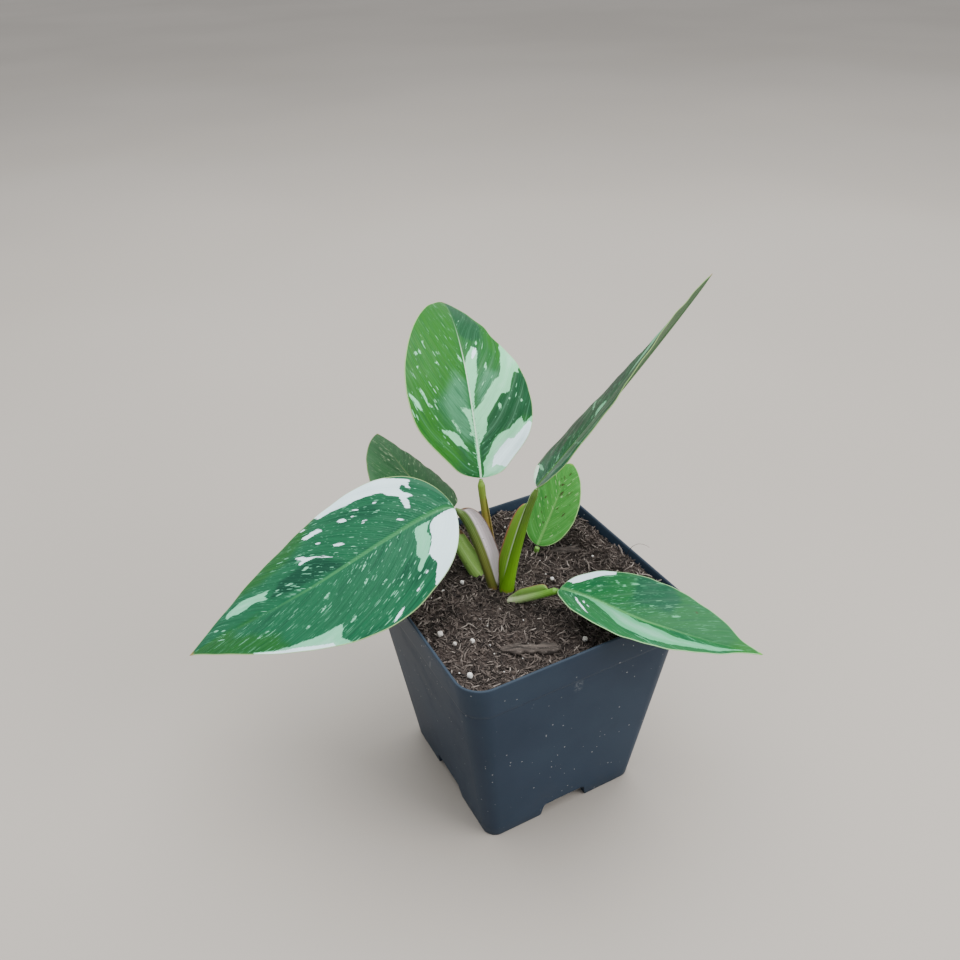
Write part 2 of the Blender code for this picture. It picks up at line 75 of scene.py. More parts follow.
STALK_BURIED = 0.0045  # how far a stalk's foot lies under the soil
OTHER_SEED = 17.0  # parts a copy's turn from its size
STREAK_LENGTH = 50  # a stalk's whole length in the units of its streaks
Colour = tuple[float, float, float]
Pair = tuple[float, float]


# ------------------------------------------------------------ small helpers

def blend(start: float, end: float, share: Any) -> Any:
    """Blend two numbers, or two arrays, by a share."""
    return start + (end - start) * share


def smooth(value: Any, low: float, high: float) -> Any:
    """Return 0 below low, 1 above high, and an eased step between them."""
    share = np.clip((value - low) / (high - low), 0.0, 1.0)
    return share * share * (3 - 2 * share)


def heading_vector(heading: Any, climb: Any) -> np.ndarray:
    """Return the unit vectors of headings and climbs in degrees.

    Args:
        heading: degrees from +X towards +Y.
        climb: degrees up from level.

    Returns:
        An array whose last axis holds x, y and z.
    """
    turn, rise = np.radians(heading), np.radians(climb)
    level = np.cos(rise)
    return np.stack([level * np.cos(turn), level * np.sin(turn),
                     np.sin(rise) + 0.0 * turn], axis=-1)


def bell(distance: Any, spread: float) -> Any:
    """Return 1 at no distance, falling away to each side over a spread."""
    return np.exp(-(distance / spread) ** 2)


def unit(vectors: np.ndarray) -> np.ndarray:
    """Return the vectors at unit length."""
    return vectors / np.maximum(np.linalg.norm(vectors, axis=-1, keepdims=True), 1e-12)


def smooth_noise(x: np.ndarray, y: np.ndarray, seed: int) -> np.ndarray:
    """Return eased lattice noise between -1 and 1.

    Args:
        x: places across, in lattice cells.
        y: places along, in lattice cells.
        seed: picks the lattice.

    Returns:
        The noise at each place.
    """
    lattice = np.random.default_rng(seed).uniform(-1, 1, (64, 64))
    column, row = np.floor(x).astype(int), np.floor(y).astype(int)
    fx, fy = smooth(x - column, 0, 1), smooth(y - row, 0, 1)

    def corner(right: int, up: int) -> np.ndarray:
        """Return the lattice's value at one corner of each cell."""
        return lattice[(column + right) % 64, (row + up) % 64]

    low = blend(corner(0, 0), corner(1, 0), fx)
    high = blend(corner(0, 1), corner(1, 1), fx)
    return blend(low, high, fy)


def link(name: str, data: Any) -> bpy.types.Object:
    """Return a new object that holds some data, linked to the scene.

    Args:
        name: the object's name.
        data: the mesh, light or camera that it holds.

    Returns:
        The new object.
    """
    item = bpy.data.objects.new(name, data)
    bpy.context.scene.collection.objects.link(item)
    return item


def link_mesh(name: str, points: np.ndarray, faces: list) -> bpy.types.Object:
    """Make an object from points and faces, shaded smooth.

    Args:
        name: the object's name.
        points: one row of x, y and z for each point.
        faces: tuples of point numbers, wound to face outwards.

    Returns:
        The new object, linked to the scene.
    """
    mesh = bpy.data.meshes.new(name)
    mesh.from_pydata(points.reshape(-1, 3).tolist(), [], faces)
    mesh.validate()
    mesh.shade_smooth()
    return link(name, mesh)


def face_outwards(item: bpy.types.Object) -> None:
    """Turn a closed mesh's faces outwards.

    Args:
        item: the object that holds the mesh.
    """
    builder = bmesh.new()
    builder.from_mesh(item.data)
    bmesh.ops.recalc_face_normals(builder, faces=builder.faces)
    builder.to_mesh(item.data)
    builder.free()


def store(item: bpy.types.Object, name: str, values: np.ndarray) -> None:
    """Keep one vector for each point of a mesh, for its material to read."""
    layer = item.data.attributes.new(name, "FLOAT_VECTOR", "POINT")
    layer.data.foreach_set("vector", np.ascontiguousarray(values, np.float32).ravel())


def loft(name: str, rings: np.ndarray) -> bpy.types.Object:
    """Make a closed form whose skin joins a stack of closed rings.

    Args:
        name: the object's name.
        rings: points by row, and by place around each ring.

    Returns:
        The new object, with a wide face at each end.
    """
    rows, ring = rings.shape[:2]
    faces = []
    for lower in range(0, (rows - 1) * ring, ring):
        upper = lower + ring
        for column in range(ring):
            following = (column + 1) % ring
            faces.append((lower + column, lower + following, upper + following, upper + column))
    faces.append(tuple(range(ring - 1, -1, -1)))
    faces.append(tuple(range((rows - 1) * ring, rows * ring)))
    item = link_mesh(name, rings, faces)
    face_outwards(item)
    return item


def pebble(name: str, subdivisions: int, radius: float,
           move: Callable[[np.ndarray], Iterable[float]]) -> bpy.types.Object:
    """Make a ball and move each of its points.

    Args:
        name: the object's name.
        subdivisions: how finely the ball is divided.
        radius: the ball's radius.
        move: takes a point on the ball and returns its new place.

    Returns:
        The new object, linked to the scene.
    """
    builder = bmesh.new()
    bmesh.ops.create_icosphere(builder, subdivisions=subdivisions, radius=radius)
    for vertex in builder.verts:
        vertex.co = Vector(move(np.array(vertex.co)))
    mesh = bpy.data.meshes.new(name)
    builder.to_mesh(mesh)
    builder.free()
    return link(name, mesh)


def strand(name: str, spine: np.ndarray, thick: np.ndarray, sides: int) -> bpy.types.Object:
    """Make a closed strand around a bent line.

    Args:
        name: the object's name.
        spine: one row of x, y and z for each point of the line.
        thick: the strand's radius at each of them.
        sides: how many sides its section has.

    Returns:
        The new object, linked to the scene.
    """
    along = unit(np.gradient(spine, axis=0))
    side = unit(np.cross(along, (0, 0, 1)))
    up = np.cross(side, along)
    return loft(name, np.stack([
        spine + (side * math.cos(angle) + up * math.sin(angle)) * thick[:, None]
        for angle in np.linspace(0, math.tau, sides, endpoint=False)], axis=1))


def settle(piece: bpy.types.Object, slot: str, nodes: Iterable[str]) -> None:
    """Tie a finished piece to the frame.

    Args:
        piece: the finished mesh.
        slot: the record's material slot for the piece; not used.
        nodes: the solids that it stands for.
    """
    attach(piece, "root")
    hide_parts(*nodes)
    LOG.info("%s: %d faces for %s", piece.name, len(piece.data.polygons), ", ".join(nodes))


# ------------------------------------------------------------ shader maths

class Number:
    """A value in a shader, so that plain expressions add Math nodes."""

    def __init__(self, graph: Graph, socket: bpy.types.NodeSocket) -> None:
        """Wrap an output socket of a graph."""
        self.graph = graph
        self.socket = socket

    def apply(self, operation: str, *values: Any) -> Number:
        """Add one Math node.

        Args:
            operation: the Math node's operation.
            values: its inputs in order.

        Returns:
            The node's result.
        """
        node = self.graph.node("ShaderNodeMath", {"operation": operation}, dict(enumerate(values)))
        return Number(self.graph, node.outputs[0])

    def __add__(self, other: Any) -> Number:
        """Return self + other."""
        return self.apply("ADD", self, other)

    __radd__ = __add__

    def __sub__(self, other: Any) -> Number:
        """Return self - other."""
        return self.apply("SUBTRACT", self, other)

    def __rsub__(self, other: Any) -> Number:
        """Return other - self."""
        return self.apply("SUBTRACT", other, self)

    def __mul__(self, other: Any) -> Number:
        """Return self * other."""
        return self.apply("MULTIPLY", self, other)

    __rmul__ = __mul__

    def __truediv__(self, other: Any) -> Number:
        """Return self / other."""
        return self.apply("DIVIDE", self, other)

    def __abs__(self) -> Number:
        """Return the distance from zero."""
        return self.apply("ABSOLUTE", self)

    def sine(self) -> Number:
        """Return the sine of a value in radians."""
        return self.apply("SINE", self)

    def step(self, low: Any, high: Any) -> Number:
        """Return an eased step from 0 at low to 1 at high.

        Args:
            low: where the step starts.
            high: where it ends.

        Returns:
            The eased value.
        """
        node = self.graph.node("ShaderNodeMapRange", {"interpolation_type": "SMOOTHSTEP"},
                               {"Value": self, "From Min": low, "From Max": high})
        return Number(self.graph, node.outputs["Result"])


class Graph:
    """One material's node tree, with a Principled shader at its end."""

    def __init__(self, name: str, roughness: float = 0.5, **fixed: float) -> None:
        """Start a material.

        Args:
            name: the material's name.
            roughness: the shader's own roughness.
            fixed: other shader inputs that are the same all over, by name.
        """
        self.material = bpy.data.materials.new(name)
        self.material.use_nodes = True
        self.tree = self.material.node_tree
        self.shader = self.tree.nodes["Principled BSDF"]
        self.shader.inputs["Roughness"].default_value = roughness
        for key, value in fixed.items():
            self.shader.inputs[key.replace("_", " ")].default_value = value

    def node(self, kind: str, settings: dict | None = None,
             inputs: dict | None = None) -> bpy.types.Node:
        """Add a node of any kind.

        Args:
            kind: the node's type.
            settings: its properties, which are set first.
            inputs: values or links for its sockets, by name or number.

        Returns:
            The node.
        """
        made = self.tree.nodes.new(kind)
        for key, value in (settings or {}).items():
            setattr(made, key, value)
        for key, value in (inputs or {}).items():
            socket = made.inputs[key]
            if isinstance(value, Number):
                value = value.socket
            if isinstance(value, bpy.types.NodeSocket):
                self.tree.links.new(value, socket)
            elif socket.type == "RGBA":
                socket.default_value = (*value, 1.0)
            else:
                socket.default_value = value
        return made

    def vector(self, x: Any, y: Any, z: Any = 0.0) -> bpy.types.NodeSocket:
        """Return a vector made from three values."""
        return self.node("ShaderNodeCombineXYZ", None, {"X": x, "Y": y, "Z": z}).outputs[0]

    def split(self, vector: bpy.types.NodeSocket) -> tuple[Number, Number, Number]:
        """Return a vector's three values."""
        parts = self.node("ShaderNodeSeparateXYZ", None, {0: vector}).outputs
        return Number(self, parts[0]), Number(self, parts[1]), Number(self, parts[2])

    def attribute(self, name: str) -> tuple[Number, Number, Number]:
        """Return the three values that a mesh keeps for each point under a name."""
        made = self.node("ShaderNodeAttribute", {"attribute_name": name})
        return self.split(made.outputs["Vector"])

    def place(self) -> bpy.types.NodeSocket:
        """Return the place on the object, in metres."""
        return self.node("ShaderNodeTexCoord").outputs["Object"]

    def noise(self, vector: bpy.types.NodeSocket, scale: float, detail: float = 2.0,
              rough: float = 0.5) -> Number:
        """Return cloudy noise around 0.5.

        Args:
            vector: the place to read it at.
            scale: how many clouds lie in one unit.
            detail: how many finer layers it has.
            rough: how strong the finer layers are.

        Returns:
            The noise.
        """
        made = self.node("ShaderNodeTexNoise", None, {
            "Vector": vector, "Scale": scale, "Detail": detail, "Roughness": rough})
        return Number(self, made.outputs[0])

    def cells(self, vector: bpy.types.NodeSocket, scale: float) -> tuple[Number, Number]:
        """Return the distance to the nearest of scattered points, and a value that it has.

        Args:
            vector: the place to read them at.
            scale: how many points lie in one unit.

        Returns:
            The distance, and the nearest point's own value from 0 to 1.
        """
        made = self.node("ShaderNodeTexVoronoi", None, {"Vector": vector, "Scale": scale})
        chance = self.split(made.outputs["Color"])[0]
        return Number(self, made.outputs["Distance"]), chance

    def mix(self, first: Any, second: Any, factor: Any) -> bpy.types.NodeSocket:
        """Return a blend of two colours.

        Args:
            first: the colour at 0.
            second: the colour at 1.
            factor: the second colour's share.

        Returns:
            The blended colour.
        """
        made = self.node("ShaderNodeMix", {"data_type": "RGBA"},
                         {0: factor, 6: first, 7: second})
        return made.outputs[2]

    def coats(self, colour: Any, *layers: tuple[Any, Any]) -> Any:
        """Return a colour with others laid over it in turn, each by its own share.

        Args:
            colour: the ground.
            layers: pairs of a colour and its share.

        Returns:
            The colour on top.
        """
        for tone, share in layers:
            colour = self.mix(colour, tone, share)
        return colour

    def bump(self, height: Number, distance: float, strength: float = 1.0) -> None:
        """Raise the surface by a height that is given from 0 to 1.

        Args:
            height: the height.
            distance: how high 1 stands, in metres.
            strength: how much of it shows.
        """
        made = self.node("ShaderNodeBump", None, {
            "Height": height, "Distance": distance, "Strength": strength})
        self.tree.links.new(made.outputs[0], self.shader.inputs["Normal"])

    def finish(self, colour: bpy.types.NodeSocket, roughness: Number | None = None
               ) -> bpy.types.Material:
        """Link the last colour and roughness.

        Args:
            colour: the base colour.
            roughness: how rough the surface is, where it varies.

        Returns:
            The material.
        """
        self.tree.links.new(colour, self.shader.inputs["Base Color"])
        if roughness is not None:
            self.tree.links.new(roughness.socket, self.shader.inputs["Roughness"])
        return self.material


# ------------------------------------------------------------------ blades

class Tone(Enum):
    """What a patch of a variegated blade shows: the white, mint, deep green and scar patches are
    its own colours, the grey patches are a painted sheen, and the yellow-green patches are painted
    backlight, where light shines through the blade.
    """

    WHITE = 0
    MINT = 1
    DEEP = 2
    BACKLIT = 3
    SHEEN = 4
    SCAR = 5


WHITE, MINT, DEEP, BACKLIT, SHEEN, SCAR = Tone


@dataclass(frozen=True)
class Patch:
    """A patch of one tone, outlined in shares of the blade: along, and across from -1 to 1."""

    tone: Tone
    outline: tuple[Pair, ...]

    def depth(self, x: np.ndarray, y: np.ndarray, scale: Pair) -> np.ndarray:
        """Return how far inside the outline each place is, in millimetres.

        Args:
            x: places along, in millimetres.
            y: places across, in millimetres.
            scale: millimetres in one unit along and across.

        Returns:
            Depths, negative outside.
        """
        corners = np.array(self.outline) * scale
        nearest = np.full(x.shape, 1e9)
        inside = np.zeros(x.shape, bool)
        for (ax, ay), (bx, by) in zip(corners, np.roll(corners, -1, axis=0)):
            dx, dy = bx - ax, by - ay
            share = np.clip(((x - ax) * dx + (y - ay) * dy) / (dx * dx + dy * dy + 1e-9), 0, 1)
            nearest = np.minimum(nearest, np.hypot(x - ax - share * dx, y - ay - share * dy))
            if dy != 0.0:
                crosses = ((ay > y) != (by > y)) & (x < dx * (y - ay) / dy + ax)
                inside ^= crosses
        return np.where(inside, nearest, -nearest)


@dataclass(frozen=True)
class Dash:
    """A short stroke of one tone that runs along a vein and tapers at both ends."""

    tone: Tone
    start: Pair
    end: Pair
    width: float = 1.0

    def depth(self, x: np.ndarray, y: np.ndarray, scale: Pair) -> np.ndarray:
        """Return how far inside the stroke each place is, in millimetres.

        Args:
            x: places along, in millimetres.
            y: places across, in millimetres.
            scale: millimetres in one unit along and across.

        Returns:
            Depths, negative outside.
        """
        (ax, ay), (bx, by) = np.array((self.start, self.end)) * scale
        dx, dy = bx - ax, by - ay
        share = np.clip(((x - ax) * dx + (y - ay) * dy) / (dx * dx + dy * dy + 1e-9), 0, 1)
        away = np.hypot(x - ax - share * dx, y - ay - share * dy)
        return self.width / 2 * (1 - 0.55 * np.abs(2 * share - 1)) - away


@dataclass(frozen=True)
class Nip:
    """A place where a margin draws in: station, side (1 right, -1 left, 0 both), depth, spread."""

    station: float
    side: int
    depth: float
    spread: float


@dataclass(frozen=True)
class BladeColours:
    """The colours of one blade; its grey is a painted sheen that also streaks the veins, and its
    yellow-green is painted backlight.
    """

    green: Colour
    deep: Colour
    # painted backlight: yellow-green where light shines through the blade
    backlit: Colour
    mint: Colour
    rib: Colour
    white: Colour = (0.70, 0.89, 0.93)
    margin: Colour = (0.34, 0.50, 0.20)
    under: Colour = (0.09, 0.21, 0.07)
    # painted sheen: the grey of the sheen patches, also laid along the veins
    sheen_grey: Colour = (0.06, 0.22, 0.12)
    scar: Colour = (0.040, 0.045, 0.014)
    tip: Colour = (0.26, 0.19, 0.06)
    rib_width: float = 1.5
    rib_strength: float = 0.45
    specks: float = 0.5
    roughness: float = 0.40


@dataclass(frozen=True)
class BladeForm:
    """A blade's shape: the run of its midrib, and how its halves spread from it.

    Pairs give a value at the base and at the tip. Fold lifts both halves into
    a valley, and curl bends them down again. Angles are in degrees.
    """

    length: float
    width: float
    heading: Pair
    climb: Pair
    climb_power: float
    roll: Pair
    fold: float
    curl: float
    base_fullness: float
    tip_fullness: float
    heart: float = 0.03
    lean: float = 0.0
    rib_path: tuple[Pair, ...] = ((0.0, 0.0), (1.0, 0.0))
    nips: tuple[Nip, ...] = ()
    wave: float = 0.00018
    rows: int = 150
    columns: int = 90
    vein_slant: float = 0.34

    def half_width(self, share: np.ndarray, side: np.ndarray) -> np.ndarray:
        """Return the width of one half at shares of the length; side is 1 or -1.

        Args:
            share: shares of the length.
            side: 1 for the right half and -1 for the left.

        Returns:
            Widths in metres.
        """
        base, tip = self.base_fullness, self.tip_fullness
        widest = base / (base + tip)
        full = widest ** base * (1 - widest) ** tip
        half = self.width / 2 * share ** base * (1 - share) ** tip / full
        half = half * (1 + self.lean * side)
        for nip in self.nips:
            reach = bell(share - nip.station, nip.spread)
            chosen = np.where(side == nip.side, 1.0, 1.0 if nip.side == 0 else 0.0)
            half = half * (1 - nip.depth * reach * chosen)
        return half

    def spine(self, steps: int = 64) -> tuple[np.ndarray, ...]:
        """Walk along the midrib from the origin.

        Args:
            steps: how many equal steps to take.

        Returns:
            Points, tangents, right-hand sides and upward normals.
        """
        share = np.linspace(0, 1, steps + 1)
        heading = blend(*self.heading, share)
        climb = blend(*self.climb, share ** self.climb_power)
        roll = np.radians(blend(*self.roll, share))[:, None]
        tangent = heading_vector(heading, climb)
        level_side = -heading_vector(heading + 90, 0 * climb)
        up = np.cross(level_side, tangent)
        side = level_side * np.cos(roll) - up * np.sin(roll)
        normal = up * np.cos(roll) + level_side * np.sin(roll)
        hops = tangent[:-1] * self.length / steps
        points = np.vstack([np.zeros(3), np.cumsum(hops, axis=0)])
        return points, tangent, side, normal

    def sheet(self, share: np.ndarray, off_rib: np.ndarray
              ) -> tuple[np.ndarray, np.ndarray, np.ndarray, np.ndarray]:
        """Return the middle of the blade's thickness.

        Args:
            share: shares of the length.
            off_rib: places from -1 at the left margin, 0 at the midrib, to 1.

        Returns:
            Points, places across the sheet, distances from the midrib and
            distances from the margin, both in metres.
        """
        side = np.where(off_rib > 0, 1.0, -1.0)
        reach = np.abs(off_rib)
        rib = np.interp(share, *np.array(self.rib_path).T)
        across = rib + off_rib * (1 - rib * side)
        swept = np.sin(math.pi * np.minimum(1.0, share / 0.3)) * (1 - share)
        station = share - self.heart * swept * np.abs(across)
        knots = np.linspace(0, 1, 65)
        place = np.clip(station, 0, 1)
        point, tangent, flank, normal = (
            np.stack([np.interp(place, knots, part[:, axis]) for axis in range(3)], -1)
            for part in self.spine())
        point = point + tangent * ((station - place) * self.length)[..., None]
        half = self.half_width(share, side)
        distance = reach * half * (1 - rib * side)
        bend = math.radians(self.curl) / (self.width / 2)
        fold = math.radians(self.fold)
        out = (np.sin(fold + bend * distance) - math.sin(fold)) / bend
        up = (math.cos(fold) - np.cos(fold + bend * distance)) / bend
        sideways = rib * self.half_width(share, np.sign(rib)) + side * out
        ripple = (np.sin(math.tau * (4.3 * share + 0.17 * side)) + 0.6 * np.sin(
            math.tau * (9.1 * share + 0.31 * side)))
        ripple = ripple * smooth(share, 0, 0.1) * smooth(1 - share, 0, 0.1)
        up = up + self.wave * ripple * reach ** 3
        point = point + flank * sideways[..., None] + normal * up[..., None]
        margin = (1 - reach) * half * (1 - rib * side)
        return point, across, distance * side, margin


@dataclass(frozen=True)
class BladeSection:
    """A blade's relief across its midrib, in millimetres, the same for every leaf."""

    margin_half: float = 0.11
    middle_half: float = 0.24
    rim: float = 0.10
    groove: float = 0.22
    groove_spread: float = 0.55
    shoulder: float = 0.14
    shoulder_place: float = 1.3
    shoulder_spread: float = 0.6
    keel: float = 0.95
    keel_spread: float = 1.0
    quilt: float = 0.09
    vein_spacing: float = 6.2
    fibre_spacing: float = 1.15


@dataclass(frozen=True)
class LeafBlade:
    """One leaf blade: its form, its colours and its variegation."""

    node: str
    form: BladeForm
    colours: BladeColours
    marks: tuple[Patch | Dash, ...] = ()
    seed: int = 1
    section: BladeSection = BladeSection()

    def build(self) -> None:
        """Model the blade where its solid lies, and dress it."""
        form, section = self.form, self.section
        share, off_rib = np.meshgrid(
            0.5 - 0.5 * np.cos(np.linspace(0.045, math.pi - 0.045, form.rows)),
            np.sin(np.linspace(-math.pi / 2, math.pi / 2, form.columns + 1) * 0.98)
            / math.sin(math.pi / 2 * 0.98), indexing="ij")
        point, across, distance, margin = form.sheet(share, off_rib)
        low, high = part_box(self.node)
        centre = (np.array(low) + np.array(high)) / 2
        even = replace(form, rib_path=((0.0, 0.0), (1.0, 0.0)), nips=())
        plain = even.sheet(share, off_rib)[0]
        middle = (plain.reshape(-1, 3).min(0) + plain.reshape(-1, 3).max(0)) / 2
        point = point + centre - middle
        normal = unit(np.cross(np.gradient(point, axis=0), np.gradient(point, axis=1)))
        root = share - np.abs(off_rib) * form.vein_slant * 4 * share * (1 - share) ** 0.8
        fade = (1 - share) ** 0.6
        inland = smooth(margin, 0, 3 * MM)
        quilt = section.quilt * MM * np.cos(
            math.tau * root * form.length / (section.vein_spacing * MM))
        quilt = quilt * smooth(np.abs(distance), 1 * MM, 4 * MM) * inland
        point = point - normal * quilt[..., None]
        thick = blend(section.margin_half, section.middle_half, inland) * MM
        groove = section.groove * MM * fade * bell(distance, section.groove_spread * MM)
        beside = np.abs(distance) - section.shoulder_place * MM
        shoulder = section.shoulder * MM * fade * bell(beside, section.shoulder_spread * MM)
        keel = section.keel * MM * fade * smooth(share, 0.0, 0.02) * bell(
            distance, section.keel_spread * MM)
        upper = point - normal * (thick - groove + shoulder)[..., None]
        lower = point + normal * (thick + keel)[..., None]
        outward = unit(point[:, -1] - point[:, -2])
        inward = unit(point[:, 0] - point[:, 1])
        rim_right = point[:, -1] + outward * section.rim * MM
        rim_left = point[:, 0] + inward * section.rim * MM
        rings = np.concatenate(
            [upper, rim_right[:, None], lower[:, ::-1], rim_left[:, None]], axis=1)

        def wrap(values: np.ndarray, under: np.ndarray) -> np.ndarray:
            """Spread values of the sheet over the top, the rims and the underside."""
            return np.concatenate([values, values[:, -1:], under[:, ::-1], values[:, :1]], axis=1)

        item = loft(f"{self.node}_sheet", rings)
        x, y = share * form.length / MM, across * form.width / 2 / MM
        scale = (form.length / MM, form.width / 2 / MM)
        depths = {tone: np.full(x.shape, -9.0) for tone in Tone}
        for mark in self.marks:
            depths[mark.tone] = np.maximum(depths[mark.tone], mark.depth(x, y, scale))
        # hues holds the depths of the painted-backlight patches, the painted-sheen patches and the
        # scars
        for name, parts in (
                ("lay", (x, distance / MM, root * form.length / MM)),
                ("tones", (depths[WHITE], depths[MINT], depths[DEEP])),
                ("hues", (depths[BACKLIT], depths[SHEEN], depths[SCAR]))):
            values = np.stack(parts, axis=-1)
            store(item, name, wrap(values, values))
        top = np.stack([margin / MM, 0 * x, share], axis=-1)
        bottom = np.stack([margin / MM, 0 * x + 1, share], axis=-1)
        store(item, "edge", wrap(top, bottom))
        item.data.materials.append(self.finish())
        settle(item, self.node, [self.node])

    def finish(self) -> bpy.types.Material:
        """Build the blade's variegated skin, whose streaks run along its veins, with a painted
        sheen in grey patches and painted backlight in yellow-green patches.

        Returns:
            The material.
        """
        c = self.colours
        g = Graph(f"{self.node}_skin", c.roughness, Coat_Weight=0.03,
                  Coat_Roughness=0.25, Specular_IOR_Level=0.16)
        along, off, root = g.attribute("lay")
        white, mint, deep = g.attribute("tones")
        # depths of the painted backlight, the painted sheen and the scars
        backlit, sheen_grey, scar = g.attribute("hues")
        edge, under, share = g.attribute("edge")
        seed = float(self.seed)
        veins = g.noise(g.vector(root * 1.1, off * 0.10, seed), 1.0, 3.0, 0.6)
        threads = g.noise(g.vector(root * 3.6, off * 0.22, seed + 9), 1.0, 2.0, 0.6)
        clouds = g.noise(g.vector(root * 0.10, off * 0.09, seed + 4), 1.0, 2.0)
        rag = g.noise(g.vector(root * 1.5, off * 0.30, seed + 2), 1.0, 3.0, 0.65) - 0.5
        grain = g.noise(g.vector(along * 3.0, off * 3.0, seed), 1.0, 1.0)
        line = (root * (math.tau / self.section.vein_spacing)).sine().step(0.93, 1.0)
        near, chance = g.cells(g.vector(root * 1.25, off * 0.50, seed), 1.0)
        common = 1 - c.specks
        specks = (chance * 0.34 - near).step(-0.05, 0.05) * chance.step(common, 1.02 - c.specks)
        fine, luck = g.cells(g.vector(root * 3.0, off * 1.2, seed + 5), 1.0)
        rare = 1.0 - 0.6 * c.specks
        dust = (0.30 - fine).step(-0.08, 0.10) * luck.step(rare, 1.04 - 0.6 * c.specks)
        pale = g.coats(c.mint, (c.green, threads.step(0.50, 0.85) * 0.35),
                       (c.white, (mint + veins * 3.0).step(3.0, 6.0) * 0.14))
        clean = g.mix(c.white, c.mint, threads.step(0.60, 0.95) * 0.22)
        whitened = (white + rag * 1.9).step(-0.12, 0.12)
        band = (1 - share * 0.85) * c.rib_width
        ribbed = 1 - (abs(off) / band).step(0.35, 1.0)
        colour = g.coats(
            c.green,
            (c.deep, (deep + rag * 6.0).step(-1.4, 1.4)),
            (c.deep, clouds.step(0.50, 0.74) * 0.55),
            # painted backlight: yellow-green over the backlit patches
            (c.backlit, (backlit + rag * 5.0 + (clouds - 0.5) * 4.0).step(-3.0, 3.5)),
            # painted sheen: grey over the sheen patches
            (c.sheen_grey, (sheen_grey + rag * 4.0).step(-2.5, 3.0) * 0.75),
            # the sheen grey also streaks the veins here, and lines them further down
            (c.sheen_grey, (veins.step(0.50, 0.66) * 0.24) * (0.4 + clouds * 0.8)),
            (c.deep, (1 - veins.step(0.34, 0.48)) * 0.55),
            (c.deep, threads.step(0.50, 0.62) * 0.42),
            (c.sheen_grey, line * (1 - share) * abs(off).step(0.5, 3.0) * 0.35),
            (c.mint, dust * rag.step(-0.30, 0.15) * 0.75),
            (c.mint, specks * clouds.step(0.38, 0.58) * 0.9),
            (pale, (mint + rag * 2.2).step(-0.16, 0.16)),
            (clean, whitened),
            (c.rib, ribbed * (1 - share.step(0.40, 0.78) * 0.85) * c.rib_strength),
            (c.scar, (scar + rag * 2.4).step(-0.3, 0.5)),
            (c.margin, (1 - edge.step(0.12, 0.40)) * 0.80),
            (c.tip, share.step(0.975, 0.992)))
        back = g.mix(colour, c.under, 0.62)
        colour = g.mix(colour, back, under.step(0.4, 0.6))
        fibre = (root * (math.tau / self.section.fibre_spacing)).sine() * 0.5 + 0.5
        g.bump(fibre * 0.35 + threads * 0.4 + grain * 0.25, 0.00012, 0.55)
        rough = veins * 0.10 + grain * 0.06 + (c.roughness - 0.08)
        return g.finish(colour, rough + whitened * 0.06)


# ------------------------------------------------------------------ stalks

@dataclass(frozen=True)
class StalkColours:
    """The colours of one leaf stalk and its sheath."""

    low: Colour
    high: Colour
    inner: Colour
    outer: Colour
    margin: Colour = (0.25, 0.10, 0.055)
    blush: Colour = (0.30, 0.11, 0.06)
    dry: Colour = (0.17, 0.095, 0.050)
    blush_reach: float = 0.22
    dry_from: float = 2.0
    # painted highlight: where across the sheath a pale lime stripe runs, 0 for none
    highlight_stripe: float = 0.0


@dataclass(frozen=True)
class StalkSection:
    """The section that every stalk shares; the sheath grows from a gap in the stem."""

    foot_swell: float = 0.30
    neck_narrowing: float = 0.52
    flatness: float = 0.94
    gap_angle: float = 16
    sheath_half: float = 0.00016
    least_width: float = 0.00002


